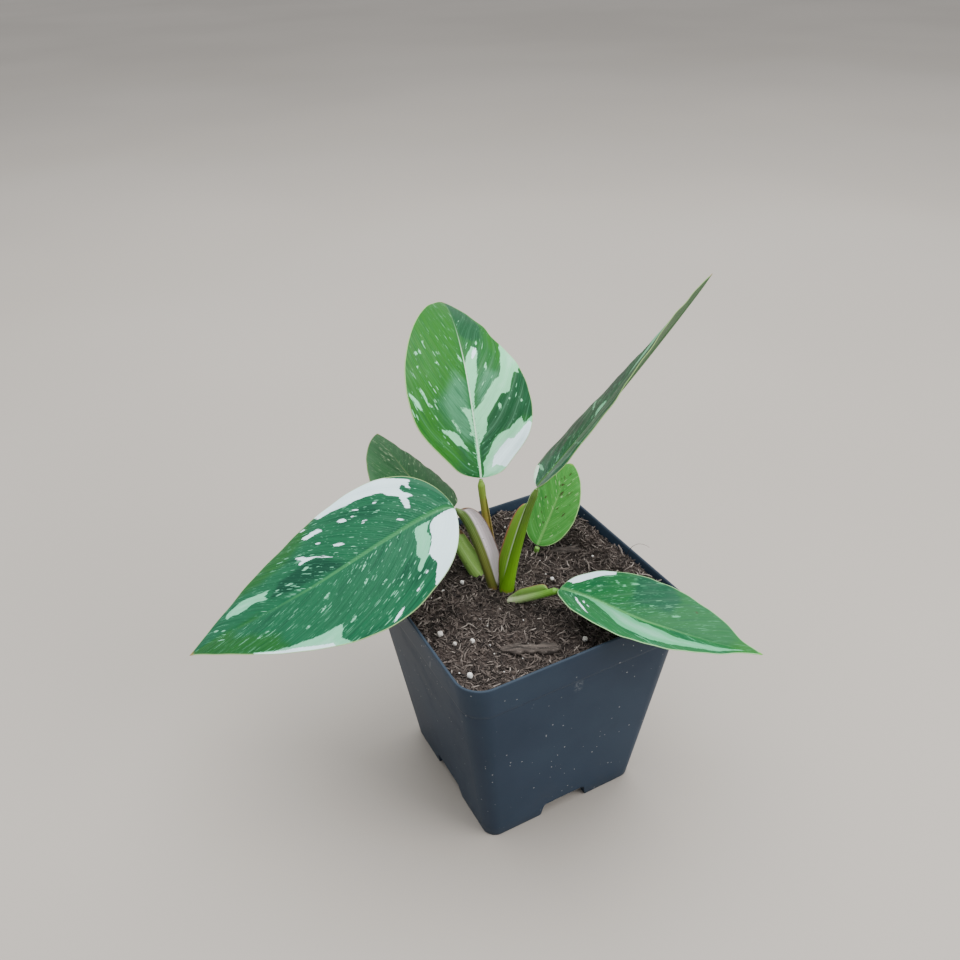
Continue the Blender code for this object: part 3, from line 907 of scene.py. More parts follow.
@dataclass(frozen=True)
class LeafStalk:
    """One leaf stalk: a round stem with a thin sheath along its lower part.

    The foot and the top are places from the crown. Directions are a heading
    and a climb in degrees. The sheath widens until the early share of its
    length, bows sideways and curls at its margin, and a higher blunt squares
    off its end. The inner side says which of its faces is the pale one.
    """

    node: str
    foot: Pair
    top: tuple[float, float, float]
    leaves_soil: Pair
    meets_blade: Pair
    foot_radius: float
    neck_radius: float
    colours: StalkColours
    buried: float = STALK_BURIED
    sheath_width: float = 0.0
    sheath_end: float = 0.0
    sheath_toward: Pair = (0, 0)
    bow: float = 0.25
    curl: float = 0.0
    early: float = 0.45
    blunt: float = 8.0
    rings: int = 110
    around: int = 26
    tail: int = 12
    inner_side: int = 1
    section: StalkSection = StalkSection()

    def curve(self, share: np.ndarray) -> tuple[np.ndarray, np.ndarray]:
        """Return points and tangents at shares of the stalk's length.

        Args:
            share: shares of the length, from the foot.

        Returns:
            The points, and tangents of unit length.
        """
        low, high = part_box("stem_crown")
        crown = np.array([(low.x + high.x) / 2, (low.y + high.y) / 2,
                          high.z + STALK_BURIED + FIT_GAP])
        out = heading_vector(*self.leaves_soil)
        into = heading_vector(*self.meets_blade)
        start = crown + np.array([*self.foot, 0.0]) - out * (self.buried / out[2])
        end = crown + np.array(self.top)
        span = np.linalg.norm(end - start)
        a, b, c, d = start, start + out * span * 0.33, end - into * span * 0.16, end
        s = share[:, None]
        r = 1 - s
        point = a * r ** 3 + b * 3 * r * r * s + c * 3 * r * s * s + d * s ** 3
        slope = (b - a) * r * r + (c - b) * 2 * r * s + (d - c) * s * s
        return point, unit(slope)

    def sheath_profile(self, share: np.ndarray) -> np.ndarray:
        """Return the sheath's width at shares of the stalk's length.

        Args:
            share: shares of the length, from the foot.

        Returns:
            Widths in metres.
        """
        if self.sheath_end == 0.0:
            return 0.0 * share
        along = np.clip(share / self.sheath_end, 0, 1)
        return self.sheath_width * smooth(along, 0, self.early) * np.sqrt(1 - along ** self.blunt)

    def build(self) -> None:
        """Model the stalk where its solid lies, and dress it."""
        section = self.section
        share = np.linspace(0, 1, self.rings)
        point, tangent = self.curve(share)
        towards = heading_vector(*self.sheath_toward)
        out = unit(towards - tangent * (tangent @ towards)[:, None])
        flank = np.cross(tangent, out)
        radius = blend(self.foot_radius, self.neck_radius, np.minimum(1, share / 0.7))
        radius = radius * (1 + section.foot_swell * (1 - smooth(share, 0.0, 0.30)))
        radius = radius * (1 - section.neck_narrowing * smooth(share, 0.90, 1.0))
        width = self.sheath_profile(share)
        gap = math.radians(section.gap_angle)
        angles = np.linspace(gap, math.tau - gap, self.around)
        stem_x, stem_y = np.cos(angles), section.flatness * np.sin(angles)
        reach = np.linspace(0, 1, self.tail + 1)[1:]
        columns, marks = [], []
        for x, y in zip(stem_x, stem_y):
            columns.append((radius * x, radius * y))
            marks.append((0.0, math.copysign(1.0, y)))
        root_x, root_y = radius * stem_x[0], radius * stem_y[0]
        for side, order in ((-1, reach), (1, reach[::-1])):
            for q in order:
                half = blend(root_y, section.sheath_half, smooth(q, 0.0, 0.30))
                half = half * (1 if q < 1 else 0.7)
                bowed = self.bow * width * (1 - (2 * q - 1) ** 2) - self.curl * width * q ** 4
                grown = np.maximum(width, section.least_width)
                columns.append((root_x + grown * q, bowed * smooth(q, 0, 0.2) + side * half))
                marks.append((q, float(side * self.inner_side)))
        rings = np.stack(
            [point + out * x[:, None] + flank * y[:, None] for x, y in columns], axis=1)
        item = loft(f"{self.node}_form", rings)
        q, face = (np.broadcast_to(np.array(part), rings.shape[:2]) for part in zip(*marks))
        along = np.broadcast_to(share[:, None], rings.shape[:2])
        store(item, "lay", np.stack([along, q, face], axis=-1))
        across = np.broadcast_to((width / max(self.sheath_width, MM))[:, None], rings.shape[:2])
        turn = np.broadcast_to(np.arange(len(columns)) / len(columns), rings.shape[:2])
        store(item, "form", np.stack([across, turn, along * STREAK_LENGTH], axis=-1))
        item.data.materials.append(self.finish())
        settle(item, self.node, [self.node])

    def finish(self) -> bpy.types.Material:
        """Build the stalk's skin: a ribbed stem, a pale sheath, a red margin and, where the colours
        give one, a painted highlight stripe.

        Returns:
            The material.
        """
        c = self.colours
        g = Graph(f"{self.node}_skin", 0.42, Coat_Weight=0.08, Coat_Roughness=0.3,
                  Specular_IOR_Level=0.4)
        along, q, face = g.attribute("lay")
        wide, turn, length = g.attribute("form")
        streak = g.noise(g.vector(turn * 26.0, length * 0.12, 1.0), 1.0, 3.0, 0.6)
        cloud = g.noise(g.vector(turn * 3.0, length * 0.5, 5.0), 1.0, 3.0)
        colour = g.coats(c.low, (c.high, along.step(0.15, 0.8)),
                         (c.outer, streak.step(0.50, 0.75) * 0.30))
        # painted highlight: a pale lime stripe along the sheath
        if c.highlight_stripe > 0.0:
            line = 1 - (abs(q - c.highlight_stripe) / 0.12).step(0.3, 1.0)
            colour = g.mix(colour, (0.62, 0.74, 0.52), line * along.step(0.16, 0.3) * 0.9)
        sheath = q.step(0.10, 0.26) * wide.step(0.05, 0.25)
        inside = face.step(-0.2, 0.2)
        skin = g.coats(c.outer, (c.inner, inside),
                       (c.high, streak.step(0.52, 0.82) * (0.30 - inside * 0.22)),
                       (c.blush, cloud.step(0.55, 0.80) * 0.08))
        rim = (q + (streak - 0.5) * 0.12).step(0.88, 0.97) * wide.step(0.08, 0.3)
        reds = 1 - (along + (cloud - 0.5) * 0.25).step(c.blush_reach * 0.45, c.blush_reach)
        dried = (along + (cloud - 0.5) * 0.06 + q * 0.02).step(c.dry_from, c.dry_from + 0.03)
        near, chance = g.cells(g.vector(turn * 14.0, length * 0.7, 2.0), 1.0)
        fleck = (0.16 - near).step(0.0, 0.05) * chance.step(0.86, 0.88)
        colour = g.coats(colour, (skin, sheath), (c.margin, rim * 0.85), (c.blush, reds * 0.6),
                         (c.dry, dried * sheath), ((0.03, 0.03, 0.015), fleck * 0.8))
        ridge = (turn * (math.tau * 24)).sine() * 0.5 + 0.5
        g.bump(ridge * 0.5 + streak * 0.5, 0.00016, 0.6)
        return g.finish(colour, streak * 0.14 + 0.34)


# --------------------------------------------------------------------- pot

@dataclass(frozen=True)
class PotPlastic:
    """Satin blue-black plastic, with dust, faint rubbed marks and a painted highlight along the
    lip.

    The scuff is a pale mark on the front face, at x and z, and the nick is a
    scratch on the left face, at y and z, both as places in the scene.
    """

    dark: Colour = (0.0195, 0.0320, 0.0520)
    light: Colour = (0.0270, 0.0425, 0.0660)
    haze: Colour = (0.060, 0.060, 0.060)
    dust: Colour = (0.42, 0.42, 0.42)
    scratched: Colour = (0.16, 0.17, 0.18)
    worn: Colour = (0.20, 0.21, 0.22)
    # painted highlight: a lighter band along the top of the lip
    lip: Colour = (0.040, 0.051, 0.064)
    scuff: Pair = (0.0195, 0.0808)
    nick: Pair = (-0.025, 0.088)

    def material(self) -> bpy.types.Material:
        """Build the plastic.

        Returns:
            The material.
        """
        g = Graph("pot_plastic_skin", 0.50, Specular_IOR_Level=0.17, IOR=1.30)
        spot = g.place()
        x, y, z = g.split(spot)
        cloud = g.noise(spot, 18.0, 3.0, 0.55)
        grain = g.noise(spot, 2600.0, 2.0, 0.5)
        haze = g.noise(spot, 55.0, 4.0, 0.65).step(0.50, 0.85)
        near, chance = g.cells(spot, 400.0)
        dust = (chance * 0.13 - near).step(-0.02, 0.03) * chance.step(0.64, 0.68)
        patchy = g.noise(spot, 34.0, 2.0).step(0.30, 0.55)
        rubbed = g.noise(g.vector(x * 900.0 + z * 120.0, y * 900.0 - z * 90.0, z * 26.0), 1.0, 2.0)
        scratch = rubbed.step(0.72, 0.80) * g.noise(spot, 26.0, 1.0).step(0.55, 0.75)
        scuff_x, scuff_z = self.scuff
        scuff = 1 - (abs(x - scuff_x) * 400.0).step(0.1, 1.0)
        scuff = scuff * (1 - (abs(z - scuff_z) * 240.0).step(0.2, 1.0))
        front = (y * -1000.0).step(54.0, 55.0)
        scuff = scuff * front * g.noise(spot, 900.0, 3.0, 0.6).step(0.44, 0.60)
        nick_y, nick_z = self.nick
        nick = 1 - (abs(y - nick_y + (z - nick_z) * 0.5) * 1100.0).step(0.2, 1.0)
        side = (x * -1000.0).step(24.0, 25.0)
        nick = nick * side * (1 - (abs(z - nick_z) * 240.0).step(0.2, 1.0))
        colour = g.coats(
            self.dark,
            (self.light, cloud.step(0.3, 0.7)),
            (self.haze, haze * (1 - (z * 20.0).step(0.0, 1.6)) * 0.25),
            (self.dust, dust * patchy * 0.75),
            (self.scratched, scratch * 0.30),
            (self.worn, scuff * 0.45 + nick * 0.40),
            # painted highlight along the lip's top, 99.1 to 99.9 mm up
            (self.lip, (z * 1000.0).step(99.1, 99.9) * 0.4))
        g.bump(grain * 0.75 + scratch * 0.25, 0.00006, 0.35)
        rough = cloud * 0.10 + haze * 0.10 + scratch * 0.12 + 0.38
        return g.finish(colour, rough)


@dataclass(frozen=True)
class NurseryPot:
    """The moulded square pot, hollow down into its four feet."""

    top_width: float = 0.100
    base_width: float = 0.072
    height: float = 0.100
    wall: float = 0.0012
    top_radius: float = 0.0103
    base_radius: float = 0.0059
    band_height: float = 0.0155
    band_step: float = 0.0004
    notch_height: float = 0.007
    notch_low: float = 0.0225
    notch_high: float = 0.0200
    hole_radius: float = 0.0040
    hole_spacing: float = 0.0210
    corner_steps: int = 14
    side_steps: int = 8
    skin: PotPlastic = PotPlastic()

    def centre(self) -> np.ndarray:
        """Return the middle of the pot's foot."""
        low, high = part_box("pot")
        return np.array([(low.x + high.x) / 2, (low.y + high.y) / 2, low.z])

    def outline(self, height: float, inset: float) -> np.ndarray:
        """Return the pot's rounded square at a height, moved in from its body's face.

        Args:
            height: above the foot.
            inset: how far inside the body's outer face.

        Returns:
            One row for each point, around the pot's own centre.
        """
        share = height / self.height
        half = blend(self.base_width / 2, self.top_width / 2 - self.band_step, share) - inset
        radius = max(blend(self.base_radius, self.top_radius, share) - inset, 0.0004)
        angles = np.concatenate([
            math.pi / 2 * corner + np.linspace(0, math.pi / 2, self.corner_steps + 1)
            for corner in range(4)])
        side_x = np.repeat([1, -1, -1, 1], self.corner_steps + 1) * (half - radius)
        side_y = np.repeat([1, 1, -1, -1], self.corner_steps + 1) * (half - radius)
        points = np.stack([side_x + radius * np.cos(angles), side_y + radius * np.sin(angles)], -1)
        filled = []
        for point, following in zip(points, np.roll(points, -1, axis=0)):
            steps = self.side_steps if np.linalg.norm(following - point) > radius else 1
            filled += [blend(point, following, step / steps) for step in range(steps)]
        level = np.full((len(filled), 1), height)
        return np.hstack([np.array(filled), level])

    def cutter(self, name: str, rings: list[np.ndarray]) -> bpy.types.Object:
        """Return a closed form that a Boolean takes from the pot."""
        return loft(name, np.array(rings) + self.centre())

    def cutters(self) -> list[bpy.types.Object]:
        """Return the foot hollows, the drain notches and the drain holes.

        Returns:
            One closed object for each.
        """
        made = []
        inner = self.notch_low / 2 + self.wall
        outer = self.base_width / 2 - self.wall
        middle, half = (inner + outer) / 2, (outer - inner) / 2
        floor_top = self.notch_height + self.wall
        corner = self.base_radius - self.wall
        turns = np.radians(np.arange(0, 360, 15))
        feet = [(x, y) for x in (-middle, middle) for y in (-middle, middle)]
        for number, (x, y) in enumerate(feet):
            ring = np.stack([
                np.sign(np.cos(turns)) * (half - corner) + corner * np.cos(turns) + x,
                np.sign(np.sin(turns)) * (half - corner) + corner * np.sin(turns) + y,
                0 * turns], -1)
            made.append(self.cutter(f"foot_hollow_{number}", [
                ring + (0, 0, self.wall), ring + (0, 0, floor_top + 2 * self.wall)]))
        low, high, deep = self.notch_low / 2, self.notch_high / 2, self.notch_height
        soft = 0.0012
        section = [(-2 * low + high, -deep), (2 * low - high, -deep), (high + 0.0002, deep - soft),
                   (high - soft * 0.3, deep - soft * 0.3), (high - soft, deep),
                   (soft - high, deep), (soft * 0.3 - high, deep - soft * 0.3),
                   (-high - 0.0002, deep - soft)]
        for number in range(2):
            rings = [np.array([(end, a, b) if number == 0 else (a, end, b) for a, b in section])
                     for end in (-self.base_width, self.base_width)]
            made.append(self.cutter(f"drain_notch_{number}", rings))
        spots = [(0.0, 0.0)] + [
            (self.hole_spacing * math.cos(turn), self.hole_spacing * math.sin(turn))
            for turn in np.radians((0, 90, 180, 270))]
        for number, (x, y) in enumerate(spots):
            ring = np.stack([x + self.hole_radius * np.cos(turns),
                             y + self.hole_radius * np.sin(turns), 0 * turns + deep], -1)
            made.append(self.cutter(f"drain_hole_{number}", [
                ring - (0, 0, self.wall), ring + (0, 0, 3 * self.wall)]))
        return made

    def build(self) -> None:
        """Model the pot: tapered walls, a rim band with a rolled lip, feet and holes."""
        band = self.height - self.band_height
        out = -self.band_step
        lip = 0.0006
        profile = [(0.0, 0.0005), (0.00015, 0.00015), (0.0005, 0.0)]
        profile += [(height, 0.0) for height in np.linspace(0.006, band - 0.0012, 9)]
        profile += [(band - 0.0006, 0.00002), (band - 0.00025, 0.5 * out), (band + 0.0001, out)]
        profile += [(height, out) for height in np.linspace(band + 0.001, self.height - lip, 5)]
        for turn in np.radians((20, 45, 70, 90, 110, 135, 160, 180)):
            profile.append((self.height - lip + lip * math.sin(turn),
                            out + lip - lip * math.cos(turn)))
        profile += [(height, self.wall) for height in np.linspace(
            self.height - 0.002, self.notch_height + self.wall, 6)]
        rings = np.array([self.outline(height, inset) for height, inset in profile])
        item = loft("pot_shell", rings + self.centre())
        cutters = self.cutters()
        for cutter in cutters:
            cut = item.modifiers.new(cutter.name, "BOOLEAN")
            cut.operation, cut.solver, cut.object = "DIFFERENCE", "EXACT", cutter
        graph = bpy.context.evaluated_depsgraph_get()
        mesh = bpy.data.meshes.new_from_object(item.evaluated_get(graph))
        item.modifiers.clear()
        item.data = mesh
        for cutter in cutters:
            bpy.data.objects.remove(cutter)
        mesh.shade_smooth()
        mesh.set_sharp_from_angle(angle=math.radians(40))
        mesh.materials.clear()
        mesh.materials.append(self.skin.material())
        settle(item, "pot_plastic", ["pot"])


# -------------------------------------------------------------------- soil

@dataclass(frozen=True)
class Strewing:
    """How one kind of small piece is strewn over the soil."""

    name: str
    density: float
    seed: int
    small: float
    large: float
    tilt: float
    lift: float = 0.0


class StrewingTree:
    """A Geometry Nodes tree that strews copies of small shapes over a surface."""

    def __init__(self) -> None:
        """Build the tree with named inputs."""
        self.tree = bpy.data.node_groups.new("strewing", "GeometryNodeTree")
        face = self.tree.interface
        self.keys = {}
        face.new_socket("Geometry", in_out="OUTPUT", socket_type="NodeSocketGeometry")
        for name, kind in (("Surface", "Geometry"), ("Shapes", "Collection"), ("Density", "Float"),
                           ("Seed", "Int"), ("Smallest", "Float"), ("Largest", "Float"),
                           ("Tilt", "Float"), ("Lift", "Float"), ("Finish", "Material")):
            made = face.new_socket(name, in_out="INPUT", socket_type=f"NodeSocket{kind}")
            self.keys[name] = made.identifier
        self.given = self.tree.nodes.new("NodeGroupInput").outputs
        self._wire()

    def _node(self, kind: str, settings: dict | None = None, **inputs: Any) -> bpy.types.Node:
        """Add a node with its settings, and link or set its inputs by name.

        Args:
            kind: the node's type.
            settings: its properties.
            inputs: values or links, by socket name.

        Returns:
            The node.
        """
        made = self.tree.nodes.new(kind)
        for key, value in (settings or {}).items():
            setattr(made, key, value)
        for key, value in inputs.items():
            socket = made.inputs[key.replace("_", " ")]
            if isinstance(value, bpy.types.NodeSocket):
                self.tree.links.new(value, socket)
            else:
                socket.default_value = value
        return made

    def _chance(self, kind: str, low: Any, high: Any, seed: Any) -> bpy.types.NodeSocket:
        """Return a random value or vector for each copy.

        Args:
            kind: FLOAT or FLOAT_VECTOR.
            low: the least it can be.
            high: the most it can be.
            seed: picks the draw.

        Returns:
            The random output.
        """
        made = self.tree.nodes.new("FunctionNodeRandomValue")
        made.data_type = kind
        first, second = (0, 1) if kind == "FLOAT_VECTOR" else (2, 3)
        for index, value in ((first, low), (second, high), (8, seed)):
            if isinstance(value, bpy.types.NodeSocket):
                self.tree.links.new(value, made.inputs[index])
            else:
                made.inputs[index].default_value = value
        return made.outputs[0 if kind == "FLOAT_VECTOR" else 1]

    def _maths(self, operation: str, first: bpy.types.NodeSocket, second: float
               ) -> bpy.types.NodeSocket:
        """Return a sum or a product of a value and a number.

        Args:
            operation: ADD or MULTIPLY.
            first: the value.
            second: the number.

        Returns:
            The result.
        """
        made = self._node("ShaderNodeMath", {"operation": operation})
        self.tree.links.new(first, made.inputs[0])
        made.inputs[1].default_value = second
        return made.outputs[0]

    def _wire(self) -> None:
        """Link the tree from its surface to its realised, dressed copies."""
        given = self.given
        spots = self._node("GeometryNodeDistributePointsOnFaces", None,
                           Mesh=given["Surface"], Density=given["Density"], Seed=given["Seed"])
        other = self._maths("ADD", given["Seed"], OTHER_SEED)
        size = self._chance("FLOAT", given["Smallest"], given["Largest"], given["Seed"])
        down = self._maths("MULTIPLY", given["Tilt"], -1.0)
        least = self._node("ShaderNodeCombineXYZ", None, X=down, Y=down, Z=-math.pi)
        most = self._node("ShaderNodeCombineXYZ", None,
                          X=given["Tilt"], Y=given["Tilt"], Z=math.pi)
        turn = self._chance("FLOAT_VECTOR", least.outputs[0], most.outputs[0], other)
        rise = self._node("ShaderNodeCombineXYZ", None, Z=given["Lift"])
        raised = self._node("GeometryNodeSetPosition", None,
                            Geometry=spots.outputs["Points"], Offset=rise.outputs[0])
        shapes = self._node("GeometryNodeCollectionInfo", None, Collection=given["Shapes"],
                            Separate_Children=True, Reset_Children=True)
        copies = self._node("GeometryNodeInstanceOnPoints", None, Points=raised.outputs[0],
                            Instance=shapes.outputs[0], Pick_Instance=True,
                            Rotation=turn, Scale=size)
        tint = self._chance("FLOAT", 0.0, 1.0, given["Seed"])
        kept = self._node("GeometryNodeStoreNamedAttribute",
                          {"data_type": "FLOAT", "domain": "INSTANCE"},
                          Geometry=copies.outputs[0], Name="tint", Value=tint)
        real = self._node("GeometryNodeRealizeInstances", None, Geometry=kept.outputs[0])
        dressed = self._node("GeometryNodeSetMaterial", None, Geometry=real.outputs[0],
                             Material=given["Finish"])
        last = self.tree.nodes.new("NodeGroupOutput")
        self.tree.links.new(dressed.outputs[0], last.inputs[0])

    def strew(self, plan: Strewing, surface: bpy.types.Object, shapes: bpy.types.Collection,
              material: bpy.types.Material) -> bpy.types.Object:
        """Strew shapes over a surface.

        Args:
            plan: how many, how large and how tilted.
            surface: what they lie on.
            shapes: the collection of shapes to pick from.
            material: their finish.

        Returns:
            One plain mesh that holds them all.
        """
        modifier = surface.modifiers.new(plan.name, "NODES")
        modifier.node_group = self.tree
        for name, value in (("Shapes", shapes), ("Density", plan.density), ("Seed", plan.seed),
                            ("Smallest", plan.small), ("Largest", plan.large), ("Tilt", plan.tilt),
                            ("Lift", plan.lift), ("Finish", material)):
            modifier[self.keys[name]] = value
        graph = bpy.context.evaluated_depsgraph_get()
        mesh = bpy.data.meshes.new_from_object(surface.evaluated_get(graph))
        surface.modifiers.remove(modifier)
        return link(plan.name, mesh)


@dataclass(frozen=True)
class Peat:
    """Dark damp peat, with paler dry crumbs and a fine broken surface."""

    name: str
    damp: Colour = (0.016, 0.012, 0.010)
    brown: Colour = (0.060, 0.045, 0.038)
    dry: Colour = (0.150, 0.120, 0.102)
    pale: Colour = (0.20, 0.165, 0.14)

    def material(self) -> bpy.types.Material:
        """Build the peat.

        Returns:
            The material.
        """
        g = Graph(self.name, 0.9, Specular_IOR_Level=0.25)
        spot = g.place()
        tint = g.attribute("tint")[0]
        cloud = g.noise(spot, 160.0, 3.0, 0.6)
        fine = g.noise(spot, 1500.0, 4.0, 0.7)
        colour = g.coats(
            self.damp, (self.brown, cloud.step(0.32, 0.72)),
            (self.dry, (tint * fine * 1.6).step(0.45, 1.0) * 0.7),
            (self.pale, fine.step(0.58, 0.78) * 0.5))
        g.bump(fine, 0.0005, 0.8)
        return g.finish(colour)


@dataclass(frozen=True)
class PeatFibre:
    """Dry peat fibres from dark brown to straw."""

    dark: Colour = (0.010, 0.007, 0.006)
    brown: Colour = (0.125, 0.100, 0.086)
    straw: Colour = (0.36, 0.31, 0.27)
    stain: Colour = (0.022, 0.016, 0.014)

    def material(self) -> bpy.types.Material:
        """Build the fibres' skin.

        Returns:
            The material.
        """
        g = Graph("peat_fibre", 0.8, Specular_IOR_Level=0.3)
        tint = g.attribute("tint")[0]
        fine = g.noise(g.place(), 900.0, 2.0)
        return g.finish(g.coats(
            self.dark, (self.brown, tint.step(0.10, 0.90)),
            (self.straw, tint.step(0.92, 1.0) * 0.75),
            (self.stain, fine.step(0.48, 0.72) * 0.6)))


@dataclass(frozen=True)
class Perlite:
    """White puffed perlite, a little stained by the soil."""

    white: Colour = (0.74, 0.73, 0.70)
    stained: Colour = (0.42, 0.36, 0.30)
    brown: Colour = (0.30, 0.255, 0.215)

    def material(self) -> bpy.types.Material:
        """Build the perlite.

        Returns:
            The material.
        """
        g = Graph("perlite_grain_skin", 0.85)
        spot = g.place()
        pores = g.cells(spot, 2600.0)[0]
        stain = g.noise(spot, 700.0, 2.0)
        tone = g.noise(spot, 75.0, 1.0)
        g.bump(pores, 0.0002, 0.6)
        return g.finish(g.coats(
            self.white, (self.stained, stain.step(0.48, 0.80) * 0.6),
            (self.brown, tone.step(0.44, 0.60) * 0.6)))


@dataclass(frozen=True)
class SoilBed:
    """The potting mix: a lumpy bed of peat, strewn with fibres, crumbs and grains.

    It is heaped towards the back and right walls, and eased off above a crest
    height so that it stays under the rim.
    """

    pot: NurseryPot
    below_rim: float = 0.0062
    back_dip: float = 0.0030
    lump: float = 0.0005
    clearance: float = 0.0004
    corner_radius: float = 0.0085
    brink_drop: float = 0.0007
    heap: Pair = (0.031, 0.044)
    heap_rise: float = 0.0054
    crest: float = 0.0976
    cells: int = 170

    def height_at(self, x: np.ndarray, y: np.ndarray) -> np.ndarray:
        """Return the top's plain height at places around the pot's centre.

        Args:
            x: places to the right.
            y: places to the back.

        Returns:
            Heights above the pot's foot.
        """
        to_back = np.clip((x + y) / self.pot.top_width + 0.35, 0, 1)
        lumps = np.sin(230 * x + 1.0) * np.cos(190 * y) + 0.5 * np.sin(280 * y - 230 * x)
        return (self.pot.height - self.below_rim - self.back_dip * to_back ** 2
                + self.lump * lumps)

    def top_grid(self) -> np.ndarray:
        """Return the lumpy top as a grid that fills the pot's rounded square.

        Returns:
            Points by row and column.
        """
        level = self.pot.height - self.below_rim - self.back_dip
        half = blend(self.pot.base_width, self.pot.top_width, level / self.pot.height) / 2
        half -= self.pot.wall + self.clearance
        radius = self.corner_radius
        side = np.linspace(-1, 1, self.cells + 1)
        x, y = np.meshgrid(side, side, indexing="ij")
        reach = np.maximum(np.abs(x), np.abs(y)) + 1e-9
        ux, uy = np.abs(x) / reach, np.abs(y) / reach
        inner = 1 - radius / half
        over = np.minimum(ux, uy) - inner
        r = radius / half
        b = inner * (ux + uy)
        a = ux ** 2 + uy ** 2
        c = 2 * inner ** 2 - r ** 2
        round_scale = (b + np.sqrt(np.maximum(b * b - a * c, 0))) / a
        scale = np.where(over > 0, round_scale, 1.0)
        x, y = x * scale * half, y * scale * half
        z = self.height_at(x, y)
        for seed, wave, size in ((3, 9.0, 0.75), (5, 4.1, 0.55), (7, 2.0, 0.42), (11, 1.05, 0.22)):
            z = z + smooth_noise(x / (wave * MM) + 20, y / (wave * MM) + 20, seed) * size * MM
        ridge = 1 - np.abs(smooth_noise(x / (3.1 * MM) + 9, y / (1.7 * MM) + 9, 13))
        z = z + (ridge ** 3 - 0.4) * 0.6 * MM
        brink = smooth(np.maximum(np.abs(x), np.abs(y)) / half, 0.94, 1.0)
        heaped = smooth(np.maximum(x, y), *self.heap)
        z = z - brink * (1 - heaped) * self.brink_drop + heaped * self.heap_rise
        z = np.where(z > self.crest, self.crest + (z - self.crest) * 0.35, z)
        return np.stack([x, y, z], -1) + self.pot.centre()

    def build(self) -> None:
        """Model the bed and everything that is strewn on it."""
        top = self.top_grid()
        count = self.cells + 1
        flat = top.reshape(-1, 3)
        number = np.arange(count * count).reshape(count, count)
        faces = [tuple(quad) for quad in np.stack([
            number[:-1, :-1], number[1:, :-1], number[1:, 1:], number[:-1, 1:]], -1
        ).reshape(-1, 4).tolist()]
        surface = link_mesh("soil_top", flat, list(faces))
        edge = np.concatenate(
            [number[:-1, 0], number[-1, :-1], number[:0:-1, -1], number[0, :0:-1]])
        middle = self.pot.centre()
        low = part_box("soil")[0].z + self.pot.wall + self.pot.notch_height
        taper = (self.pot.base_width / 2 - self.pot.wall - self.clearance) / (
            np.abs(flat[edge] - middle)[:, :2].max())
        skirt = (flat[edge] - middle) * (taper * 1.08, taper * 1.08, 0) + middle
        skirt[:, 2] = low
        ring, start = len(edge), len(flat)
        for index in range(ring):
            following = (index + 1) % ring
            faces.append((int(edge[following]), int(edge[index]), start + index, start + following))
        faces.append(tuple(range(start + ring - 1, start - 1, -1)))
        bed = link_mesh("soil_bed", np.vstack([flat, skirt]), faces)
        face_outwards(bed)
        bed.data.materials.append(Peat("peat_bed").material())
        settle(bed, "potting_soil", ["soil"])
        tree = StrewingTree()
        peat, straw = Peat("peat_crumb").material(), PeatFibre().material()
        grit = Perlite().material()
        crumbs = self.shapes("crumbs", [self.crumb(seed, 1) for seed in range(6)])
        clods = self.shapes("clods", [self.crumb(seed, 2) for seed in range(20, 25)])
        fibres = self.shapes("fibres", [self.fibre(seed, 3) for seed in range(40, 52)])
        stones = self.shapes("grains", [self.crumb(seed, 2, 0.25) for seed in range(60, 64)])
        for plan, shapes, material in (
                (Strewing("soil_crumbs", 420000, 1, 0.5, 1.4, 1.5), crumbs, peat),
                (Strewing("soil_clods", 40000, 2, 1.0, 2.4, 0.5), clods, peat),
                (Strewing("soil_fibres", 735000, 3, 0.60, 1.50, 0.75, 0.0003), fibres, straw),
                (Strewing("soil_splinters", 30000, 4, 1.3, 2.4, 0.30, 0.0005), fibres, straw),
                (Strewing("soil_specks", 6000, 5, 0.30, 0.85, 1.5, 0.0004), stones, grit)):
            item = tree.strew(plan, surface, shapes, material)
            settle(item, "perlite" if material is grit else "potting_soil", ["soil"])
        bpy.data.objects.remove(surface)
        for group in (crumbs, clods, fibres, stones):
            for item in list(group.objects):
                bpy.data.objects.remove(item)
            bpy.data.collections.remove(group)

    @staticmethod
    def shapes(name: str, items: list[bpy.types.Object]) -> bpy.types.Collection:
        """Return a collection that holds only these shapes.

        Args:
            name: the collection's name.
            items: the shapes.

        Returns:
            The collection.
        """
        group = bpy.data.collections.new(name)
        for item in items:
            bpy.context.scene.collection.objects.unlink(item)
            group.objects.link(item)
        return group

    @staticmethod
    def crumb(seed: int, subdivisions: int, rough: float = 0.45) -> bpy.types.Object:
        """Return an uneven crumb about a millimetre across.

        Args:
            seed: picks its form.
            subdivisions: how finely it is divided.
            rough: how far its points move, as a share.

        Returns:
            The crumb.
        """
        dice = np.random.default_rng(seed)
        stretch = dice.uniform(0.65, 1.25, 3)

        def roughen(point: np.ndarray) -> np.ndarray:
            """Return a point stretched, and moved in or out by chance."""
            return point * stretch * (1 + dice.uniform(-rough, rough))

        return pebble(f"crumb_{seed}", subdivisions, 0.5 * MM, roughen)

    @staticmethod
    def fibre(seed: int, sides: int) -> bpy.types.Object:
        """Return a thin wandering strand a few millimetres long.

        Args:
            seed: picks its run.
            sides: how many sides its section has.

        Returns:
            The strand.
        """
        dice = np.random.default_rng(seed)
        steps = 4
        length = dice.uniform(1.1, 3.1) * MM
        turn = np.cumsum(dice.uniform(-0.50, 0.50, steps)) + dice.uniform(-0.2, 0.2)
        rise = np.cumsum(dice.uniform(-0.30, 0.30, steps))
        hop = np.stack([np.cos(turn), np.sin(turn), np.sin(rise) * 0.7], -1) * length / steps
        spine = np.vstack([np.zeros(3), np.cumsum(hop, axis=0)])
        spine -= spine.mean(axis=0)
        thick = dice.uniform(0.10, 0.24) * MM * (1 - 0.45 * np.linspace(-1, 1, steps + 1) ** 2)
        return strand(f"fibre_{seed}", spine, thick, sides)


